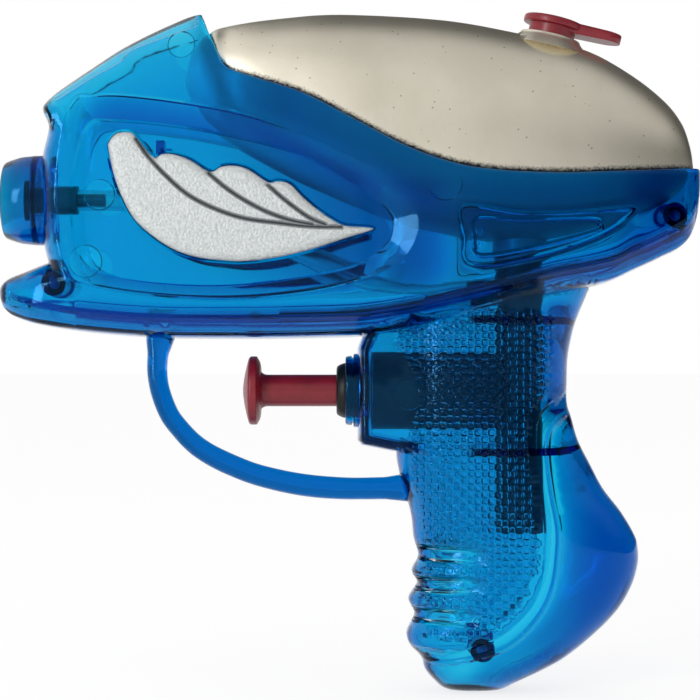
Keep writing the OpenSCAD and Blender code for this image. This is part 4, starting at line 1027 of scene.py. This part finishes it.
# bare masks the unpainted belly; line is a band of painted shade along the shells' edge; under fades the
# belly's painted shade away from that edge.
bare, line, under = [add(tree, "ShaderNodeMapRange", {"Value": ragged, "From Min": first, "From Max": last,
                                                      "To Min": 1, "To Max": 0}, interpolation_type=kind)
                     for first, last, kind in ((-0.01, 0, "LINEAR"), (0.008, 0.03, "LINEAR"),
                                               (-0.32, -0.1, "SMOOTHSTEP"))]
# The bare belly is grey plastic, painted darker (#8d9296) near the shells' edge as painted shade, and lighter
# further down.
belly = add(tree, "ShaderNodeMix", {"Factor": under, 6: linear("#8d9296"), 7: linear("#dfe4e7")},
            data_type="RGBA")
# A dark band of painted shade along the shells' edge, where the shell shades the tank.
tone = add(tree, "ShaderNodeMix", {"Factor": line, 6: tone, 7: linear("#1c222a")}, data_type="RGBA")
tone = add(tree, "ShaderNodeMix", {"Factor": bare, 6: tone, 7: belly}, data_type="RGBA")
dull = add(tree, "ShaderNodeMapRange", {"Value": bare, "To Min": 0.9, "To Max": 0.1})
peel = add(tree, "ShaderNodeTexNoise", {"Vector": place, "Scale": 700, "Detail": 2})
peel = add(tree, "ShaderNodeBump", {"Height": peel, "Strength": 0.12, "Distance": 0.0002})
feed(skin, {"Base Color": tone, "Metallic": dull, "Normal": peel})
dressed(tank, lacquer)
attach(tank, "frame")
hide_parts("tank")

# Filler stopper: a red moulded plug pressed into the neck, with a flat lip and a pull tab that tapers to its
# end. The plug and the lip are turned, and the tab is a row of rounded sections joined to the lip.
LIP_LOW, LIP_HIGH = NECK_TOP + 1, NECK_TOP + 2.6
TAB_LONG, TAB_HALF, TAB_ROWS = 14.8, 3.7, 25
lip = rounded([(NECK_TOP - 7, 0), (NECK_TOP - 7, 3.5), (NECK_TOP - 6.4, 3.95), (NECK_RING + 0.02, 3.95),
               (NECK_RING + 0.02, 5, 0.2), (LIP_LOW, 5, 0.2), (LIP_LOW, 6.5, 0.4), (LIP_HIGH, 6.5, 0.6),
               (LIP_HIGH, 0)])
cap = turned("filler_stopper", lip, neck_at, neck_way)
along, across, up = Vector(neck_way).cross(Vector((0, -1, 0))), Vector((0, 1, 0)), Vector(neck_way)
tab = []
for out in np.linspace(0, 1, TAB_ROWS):
    reach = TAB_LONG * math.sin(out * math.pi / 2) if out > 0.5 else TAB_LONG * out * math.sqrt(2)
    broad = TAB_HALF * math.sqrt(max(0.02, 1 - max(0, (reach - TAB_LONG + TAB_HALF) / TAB_HALF) ** 2))
    low = NECK_TOP + 0.1 + 0.5 * reach / TAB_LONG
    for y, h in ((-broad, low + 0.4), (-broad + 0.3, low), (broad - 0.3, low), (broad, low + 0.4),
                 (broad, LIP_HIGH - 0.5), (broad - 0.4, LIP_HIGH - 0.05), (0.4 - broad, LIP_HIGH - 0.05),
                 (-broad, LIP_HIGH - 0.5)):
        tab.append(Vector(neck_at) + along * reach + across * y + up * h)
tab_faces = band_faces([(i, i + 1) for i in range(TAB_ROWS - 1)], 8)
tab_faces += [tuple(range(8)), tuple(range(8 * TAB_ROWS - 8, 8 * TAB_ROWS))]
combined(cap, [solid("tab", tab, tab_faces)], "UNION")
smoothed(cap, 40)

# Red polyethylene, moulded: semi-gloss, a little light goes in, with fine spark texture of about 0.4 mm.
red_plastic, tree, skin, place = finish("red_polyethylene", Ior=1.5, Subsurface_Weight=0.08,
                                        Subsurface_Scale=0.001, Subsurface_Radius=(1, 0.2, 0.1))
cloud = add(tree, "ShaderNodeTexNoise", {"Vector": place, "Scale": 250, "Detail": 3})
tone = add(tree, "ShaderNodeValToRGB", {"Fac": cloud}, [(0.3, "#7c1422"), (0.7, "#901a2a")])
spark = add(tree, "ShaderNodeTexNoise", {"Vector": place, "Scale": 2400, "Detail": 2})
gloss = add(tree, "ShaderNodeMapRange", {"Value": spark, "To Min": 0.28, "To Max": 0.42})
spark = add(tree, "ShaderNodeBump", {"Height": spark, "Strength": 0.1, "Distance": 0.0001})
feed(skin, {"Base Color": tone, "Roughness": gloss, "Normal": spark})
dressed(cap, red_plastic)
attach(cap, "cap")
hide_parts("filler_cap")

# Trigger: a red push button on a round rod that slides through the gland; the piston is pressed on its end.
# Button and rod are one moulding of the stopper's red polyethylene, turned here from one profile.
button = rounded([(-22.9, 0), (-22.85, 1), (-22.5, 3.4), (-22, 5.6), (-21.6, 7, 0.3), (-21.2, 7.35, 0.2),
                  (-19.9, 7.35, 0.2), (-19.25, 6.2, 0.2), (-19.05, 5.4, 0.2), (-19.05, 4.1, 0.2),
                  (-18.5, 3.6, 0.3), (-17.8, 3.4, 0.2), (8, 3.4), (8, 2.2), (12, 2.2), (12, 0)])
trigger = turned("push_button", button, at_pump, level_way, 80)
smoothed(trigger, 40)
dressed(trigger, red_plastic)
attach(trigger, "plunger")
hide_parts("trigger")

# Pump: a level barrel, the upright valve column, the inlet seat, the piston and the jet plate, moulded in
# black ABS and glued up. The gland, a collar turned from its profile, closes the barrel and guides the rod.
gland = rounded([(-1, 3.45), (-2.8, 3.45, 0.3), (-2.8, 5.1, 0.5), (-2, 5.6, 0.4), (-1.2, 5.9, 0.3),
                 (3.7, 5.9), (3.7, 6.47), (7.7, 6.47), (7.7, 3.45), (-1, 3.45)])
gland = turned("rod_gland", gland[:-1], at_pump, level_way, 72)
smoothed(gland, 40)


def clouded(name, scale, detail, tones, gloss, **values):
    """A material whose tone and gloss both drift with one noise."""
    made, tree, skin, place = finish(name, **values)
    cloud = add(tree, "ShaderNodeTexNoise", {"Vector": place, "Scale": scale, "Detail": detail})
    tone = add(tree, "ShaderNodeValToRGB", {"Fac": cloud}, zip((0, 1), tones))
    gloss = add(tree, "ShaderNodeMapRange", {"Value": cloud, "To Min": gloss[0], "To Max": gloss[1]})
    feed(skin, {"Base Color": tone, "Roughness": gloss})
    return made


# Black ABS, moulded: a deep even black, with a satin gloss that flow marks of about 3 mm make uneven.
black_plastic = clouded("black_abs", 300, 4, ("#08090a", "#121416"), (0.3, 0.48), Ior=1.54,
                        Specular_Ior_Level=0.25)
dressed(gland, black_plastic)
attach(gland, "frame")
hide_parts("pump_gland")
for node in ("inlet_spigot", "valve_body", "pump_cylinder", "piston", "nozzle_tip"):
    dressed(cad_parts[node], black_plastic)

# Seals: a grommet in the tank's outlet and a ring in the piston's groove, both moulded in nitrile rubber.
# The rubber is dull, with a grey bloom in spots of about 1 mm.
rubber = clouded("black_nitrile_rubber", 900, 5, ("#101010", "#2a2a2a"), (0.55, 0.8), Ior=1.52,
                 Specular_Ior_Level=0.3)
for node in ("tank_grommet", "piston_ring"):
    dressed(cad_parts[node], rubber)

# Nozzle body: the outlet valve's housing behind the muzzle, moulded in brown polyacetal and clamped by the
# shells. The plastic is waxy and half glossy, with soft clouds of about 2.5 mm.
brown_plastic = clouded("brown_polyacetal", 400, 4, ("#6f5145", "#866455"), (0.25, 0.4), Ior=1.48,
                        Specular_Ior_Level=0.5)
dressed(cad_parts["nozzle_body"], brown_plastic)

# Valve balls: one steel ball on the inlet seat and one on the outlet seat, ground and plated.
# The zinc plate is a bright grey metal, uneven in tone and gloss over about 0.7 mm.
steel = clouded("zinc_plated_steel", 1500, 3, ("#8e9094", "#c2c4c8"), (0.22, 0.4), Metallic=1)
for node in ("inlet_ball", "outlet_ball"):
    dressed(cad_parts[node], steel)

# Springs: three coils of round steel wire, one behind the piston and one behind each valve ball. One node
# tree winds each coil along its axis.
COIL_STEPS, WIRE_STEPS = 40, 12
LEVEL, UPRIGHT = (0, math.pi / 2, 0), (0, 0, 0)
tree = bpy.data.node_groups.new("wound_spring", "GeometryNodeTree")
asked = {}
for name in ("Coil radius", "Turns", "Length", "Wire radius", "Seat", "Lean"):
    kind = "NodeSocketVector" if name in ("Seat", "Lean") else "NodeSocketFloat"
    asked[name] = tree.interface.new_socket(name, in_out="INPUT", socket_type=kind).identifier
tree.interface.new_socket("Spring", in_out="OUTPUT", socket_type="NodeSocketGeometry")
given = add(tree, "NodeGroupInput").outputs
wound = {"Resolution": COIL_STEPS, "Rotations": given["Turns"], "Height": given["Length"],
         "Start Radius": given["Coil radius"], "End Radius": given["Coil radius"]}
helix = add(tree, "GeometryNodeCurveSpiral", wound)
wire = add(tree, "GeometryNodeCurvePrimitiveCircle", {"Resolution": WIRE_STEPS,
                                                      "Radius": given["Wire radius"]})
coil = add(tree, "GeometryNodeCurveToMesh", {"Curve": helix, "Profile Curve": wire, "Fill Caps": True})
turn = add(tree, "FunctionNodeEulerToRotation", {"Euler": given["Lean"]})
coil = add(tree, "GeometryNodeTransform", {"Geometry": coil, "Translation": given["Seat"], "Rotation": turn})
real = add(tree, "GeometryNodeRealizeInstances", {"Geometry": coil})
plated = add(tree, "GeometryNodeSetMaterial", {"Geometry": real, "Material": steel})
add(tree, "NodeGroupOutput", {"Spring": plated})
# Piece, node, joint, coil radius, turns, start of the wire, length, wire radius, lean, fixed end, share kept
SPRINGS = (("piston_spring", "return_spring", "trigger_push", 4.6, 4, (13.06, 0, PUMP_Z), 15.58, 0.4, LEVEL,
            (29.1, 0, PUMP_Z), 0.27),
           ("inlet_ball_spring", "inlet_spring", "inlet_drop", 1.72, 4, (COLUMN_X, 0, 82.1), 2.5, 0.17,
            UPRIGHT, (COLUMN_X, 0, 81.9), 0.65),
           ("outlet_ball_spring", "outlet_spring", "outlet_lift", 1.1, 3, (-65.23, 0, NOZZLE_Z), 2.46, 0.15,
            LEVEL, (-65.4, 0, NOZZLE_Z), 0.64))
for name, node, joint, radius, turns, start, length, thick, lean, fixed, keep in SPRINGS:
    spring = placed(name, bpy.data.meshes.new(name))
    setting = spring.modifiers.new("coil", "NODES")
    setting.node_group = tree
    for key, value in (("Coil radius", radius * MM), ("Turns", float(turns)), ("Length", length * MM),
                       ("Wire radius", thick * MM), ("Seat", Vector(start) * MM), ("Lean", lean)):
        setting[asked[key]] = value
    made = evaluated(spring)
    spring.modifiers.clear()
    spring.data = made
    smoothed(spring, 40)
    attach(spring, "frame")
    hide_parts(node)
    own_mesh(spring)

# Outlet hose: a soft clear PVC tube pushed on a spigot at each end, held by both; it bends once between them.
# Its wall is drawn as rings along that path, outside and inside.
HOSE_OUTER, HOSE_INNER, HOSE_POINTS = 2.2, 1.5, 28
COLUMN_SPIGOT_Z = 85.5
t = np.linspace(0, 1, 60)
hose_path = [(-51.3 + 75.8 * a, NOZZLE_Z - (NOZZLE_Z - COLUMN_SPIGOT_Z) * b) for a, b in zip(t, ease(t))]
hose_path = np.array([(-58.3, NOZZLE_Z)] + hose_path + [(31.5, COLUMN_SPIGOT_Z)])
hose_way = np.gradient(hose_path, axis=0)
hose_way[[0, 1, -2, -1]] = (1, 0)
hose_way = hose_way / np.hypot(*hose_way.T)[:, None]
turn = np.linspace(0, 2 * math.pi, HOSE_POINTS, endpoint=False)
spots = [(x - wz * r * math.sin(a), r * math.cos(a), z + wx * r * math.sin(a))
         for r in (HOSE_OUTER, HOSE_INNER) for (x, z), (wx, wz) in zip(hose_path, hose_way) for a in turn]
rows = len(hose_path)
order = list(range(rows)) + list(range(2 * rows - 1, rows - 1, -1))
hose = solid("outlet_tube", spots, band_faces(zip(order, order[1:] + order[:1]), HOSE_POINTS))
smoothed(hose, 40)

# Soft PVC, extruded: water clear with a faint milkiness and fine draw lines.
clear_vinyl, tree, skin, place = finish("clear_pvc", Base_Color=linear("#eef4f2"), Ior=1.5,
                                        Transmission_Weight=1, Specular_Ior_Level=0.4)
lines = add(tree, "ShaderNodeTexNoise", {"Vector": place, "Scale": 800, "Detail": 2})
milk = add(tree, "ShaderNodeMapRange", {"Value": lines, "To Min": 0.1, "To Max": 0.25})
feed(skin, {"Roughness": milk})
clear_to_lamps(tree, skin, "#e8eeee")
dressed(hose, clear_vinyl)
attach(hose, "frame")
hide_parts("outlet_hose")

# Shell screws: three pan-head self-tapping screws that go in from the right half, in its wells, into the
# posts of the left half. One screw is turned with a cross recess, and a node tree sets a copy at each post.
CROSS_LONG, CROSS_WIDE = 1.3, 0.3
MOST_TURN = 1.57
profile = rounded([(-9, 0), (-8.4, 0.5), (-7.6, 1.1), (0, 1.14), (0, 2.3, 0.2), (0.7, 2.3, 0.3),
                   (1.3, 1.7, 0.3), (1.6, 0)])
screw = turned("screw_pattern", profile, (0, 0, 0), (0, 1, 0), 32)
for sx, sz in ((CROSS_LONG, CROSS_WIDE), (CROSS_WIDE, CROSS_LONG)):
    combined(screw, [box("blade", (-sx, sx), (0.7, 2), (-sz, sz))], "DIFFERENCE")
smoothed(screw, 40)
screw.data.materials.clear()
seats = bpy.data.meshes.new("screw_seats")
seats.from_pydata([(sx * MM, SEAT * MM, sz * MM) for sx, sz in SCREWS], [], [])
screws = placed("body_screws", seats)
tree = bpy.data.node_groups.new("screws_at_posts", "GeometryNodeTree")
tree.interface.new_socket("Posts", in_out="INPUT", socket_type="NodeSocketGeometry")
size = tree.interface.new_socket("Screw size", in_out="INPUT", socket_type="NodeSocketFloat")
tree.interface.new_socket("Screws", in_out="OUTPUT", socket_type="NodeSocketGeometry")
given = add(tree, "NodeGroupInput").outputs
pattern = add(tree, "GeometryNodeObjectInfo", {"Object": screw}).outputs["Geometry"]
spun = add(tree, "FunctionNodeRandomValue", {"Min": (0, 0, 0), "Max": (0, MOST_TURN, 0), "Seed": 4},
           data_type="FLOAT_VECTOR")
copies = add(tree, "GeometryNodeInstanceOnPoints", {"Points": given["Posts"], "Instance": pattern,
                                                    "Rotation": spun, "Scale": given["Screw size"]})
real = add(tree, "GeometryNodeRealizeInstances", {"Geometry": copies})
plated = add(tree, "GeometryNodeSetMaterial", {"Geometry": real, "Material": steel})
add(tree, "NodeGroupOutput", {"Screws": plated})
setting = screws.modifiers.new("screws", "NODES")
setting.node_group = tree
setting[size.identifier] = 1.0
made = evaluated(screws)
screws.modifiers.clear()
screws.data = made
bpy.data.objects.remove(screw)
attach(screws, "frame")
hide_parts("shell_screws")

# Studio: a wide white floor under the grip, and a white surround that falls to grey overhead, except at the
# left. A large soft lamp stands above the camera's left and a tall narrow one, like a window, further left.
# The camera is level.
FLOOR_HALF, LAMP_AIM = 6, (0, 0, 0.08)
ROOM_LIGHT, LEFT_SKY = 0.6, 0.9
CAMERA_AT, SENSOR = (0.0001, -0.45, 0.0731), 36
PIXELS, PIXEL_SIZE = 700, 0.000215
floor = bpy.data.meshes.new("floor")
floor.from_pydata([(-FLOOR_HALF, -FLOOR_HALF, 0), (FLOOR_HALF, -FLOOR_HALF, 0), (FLOOR_HALF, FLOOR_HALF, 0),
                   (-FLOOR_HALF, FLOOR_HALF, 0)], [], [(0, 1, 2, 3)])
floor = placed("floor", floor)


def plainly_seen(tree, ray):
    """1 for what the camera sees straight on, in a reflection or through clear plastic."""
    seen = ray["Is Camera Ray"]
    for kind in ("Is Glossy Ray", "Is Transmission Ray"):
        seen = add(tree, "ShaderNodeMath", {0: seen, 1: ray[kind]}, operation="MAXIMUM")
    return seen


# White paper, matt: it shows white to the camera and keeps a soft shadow under the grip.
paper, tree, skin, _ = finish("white_paper", Roughness=0.9, Base_Color=linear("#f7f7f7"),
                              Specular_Ior_Level=0)
seen = plainly_seen(tree, add(tree, "ShaderNodeLightPath").outputs)
bright = add(tree, "ShaderNodeEmission", {"Color": linear("#ffffff"), "Strength": 0.78})
shade = add(tree, "ShaderNodeBsdfDiffuse", {"Color": linear("#9b9b9b")})
both = add(tree, "ShaderNodeAddShader", {0: bright, 1: shade})
either = add(tree, "ShaderNodeMixShader", {0: seen, 1: skin, 2: both})
feed(tree.nodes["Material Output"], {"Surface": either})
dressed(floor, paper)
world = bpy.data.worlds.new("white_studio")
bpy.context.scene.world = world
world.use_nodes = True
tree = world.node_tree
way = add(tree, "ShaderNodeTexCoord").outputs["Generated"]
way = add(tree, "ShaderNodeSeparateXYZ", {0: way}).outputs
ray = add(tree, "ShaderNodeLightPath").outputs
fades = {}
for name, axis, first, last, low, high in (
        ("front", "Y", -0.6, -0.1, 0.55, 1), ("right", "X", -0.1, 0.6, 1, 0.02),
        ("left", "X", -0.3, -0.1, 1, 0), ("back", "Y", -0.3, 0.2, 0.58, 0.04),
        ("above", "Z", 0.2, 0.42, 0, 1), ("behind", "X", -0.12, 0.12, 1, 0.6)):
    fades[name] = add(tree, "ShaderNodeMapRange", {"Value": way[axis], "From Min": first, "From Max": last,
                                                   "To Min": low, "To Max": high})
room = add(tree, "ShaderNodeMath", {0: fades["front"], 1: fades["right"]}, operation="MULTIPLY")
band = add(tree, "ShaderNodeMix", {0: ray["Is Glossy Ray"], 2: 1.0, 3: room})
sky = add(tree, "ShaderNodeMix", {0: fades["left"], 2: fades["back"], 3: LEFT_SKY})
shown = add(tree, "ShaderNodeMix", {0: fades["above"], 2: band, 3: sky})
level = add(tree, "ShaderNodeMix", {0: plainly_seen(tree, ray), 2: ROOM_LIGHT, 3: shown})
level = add(tree, "ShaderNodeMix", {0: ray["Is Transmission Ray"], 2: level, 3: fades["behind"]})
feed(tree.nodes["Background"], {"Color": (1, 1, 1, 1), "Strength": level})
for name, place, wide, tall, watts in (("key_lamp", (-0.2, -0.8, 0.42), 0.7, 0.7, 0.3),
                                       ("window_lamp", (-0.5, -0.65, 0.22), 0.16, 0.5, 2.5)):
    lamp = bpy.data.lights.new(name, "AREA")
    lamp.shape, lamp.size, lamp.size_y, lamp.energy = "RECTANGLE", wide, tall, watts
    lamp = placed(name, lamp)
    lamp.location = place
    lamp.rotation_euler = (Vector(LAMP_AIM) - Vector(place)).to_track_quat("-Z", "Y").to_euler()
camera = bpy.data.cameras.new("camera")
camera.sensor_width, camera.lens = SENSOR, SENSOR * -CAMERA_AT[1] / (PIXELS * PIXEL_SIZE)
camera = placed("camera", camera)
camera.location, camera.rotation_euler = CAMERA_AT, (math.pi / 2, 0, 0)
bpy.context.scene.camera = camera
bpy.context.scene.view_settings.view_transform = "Standard"
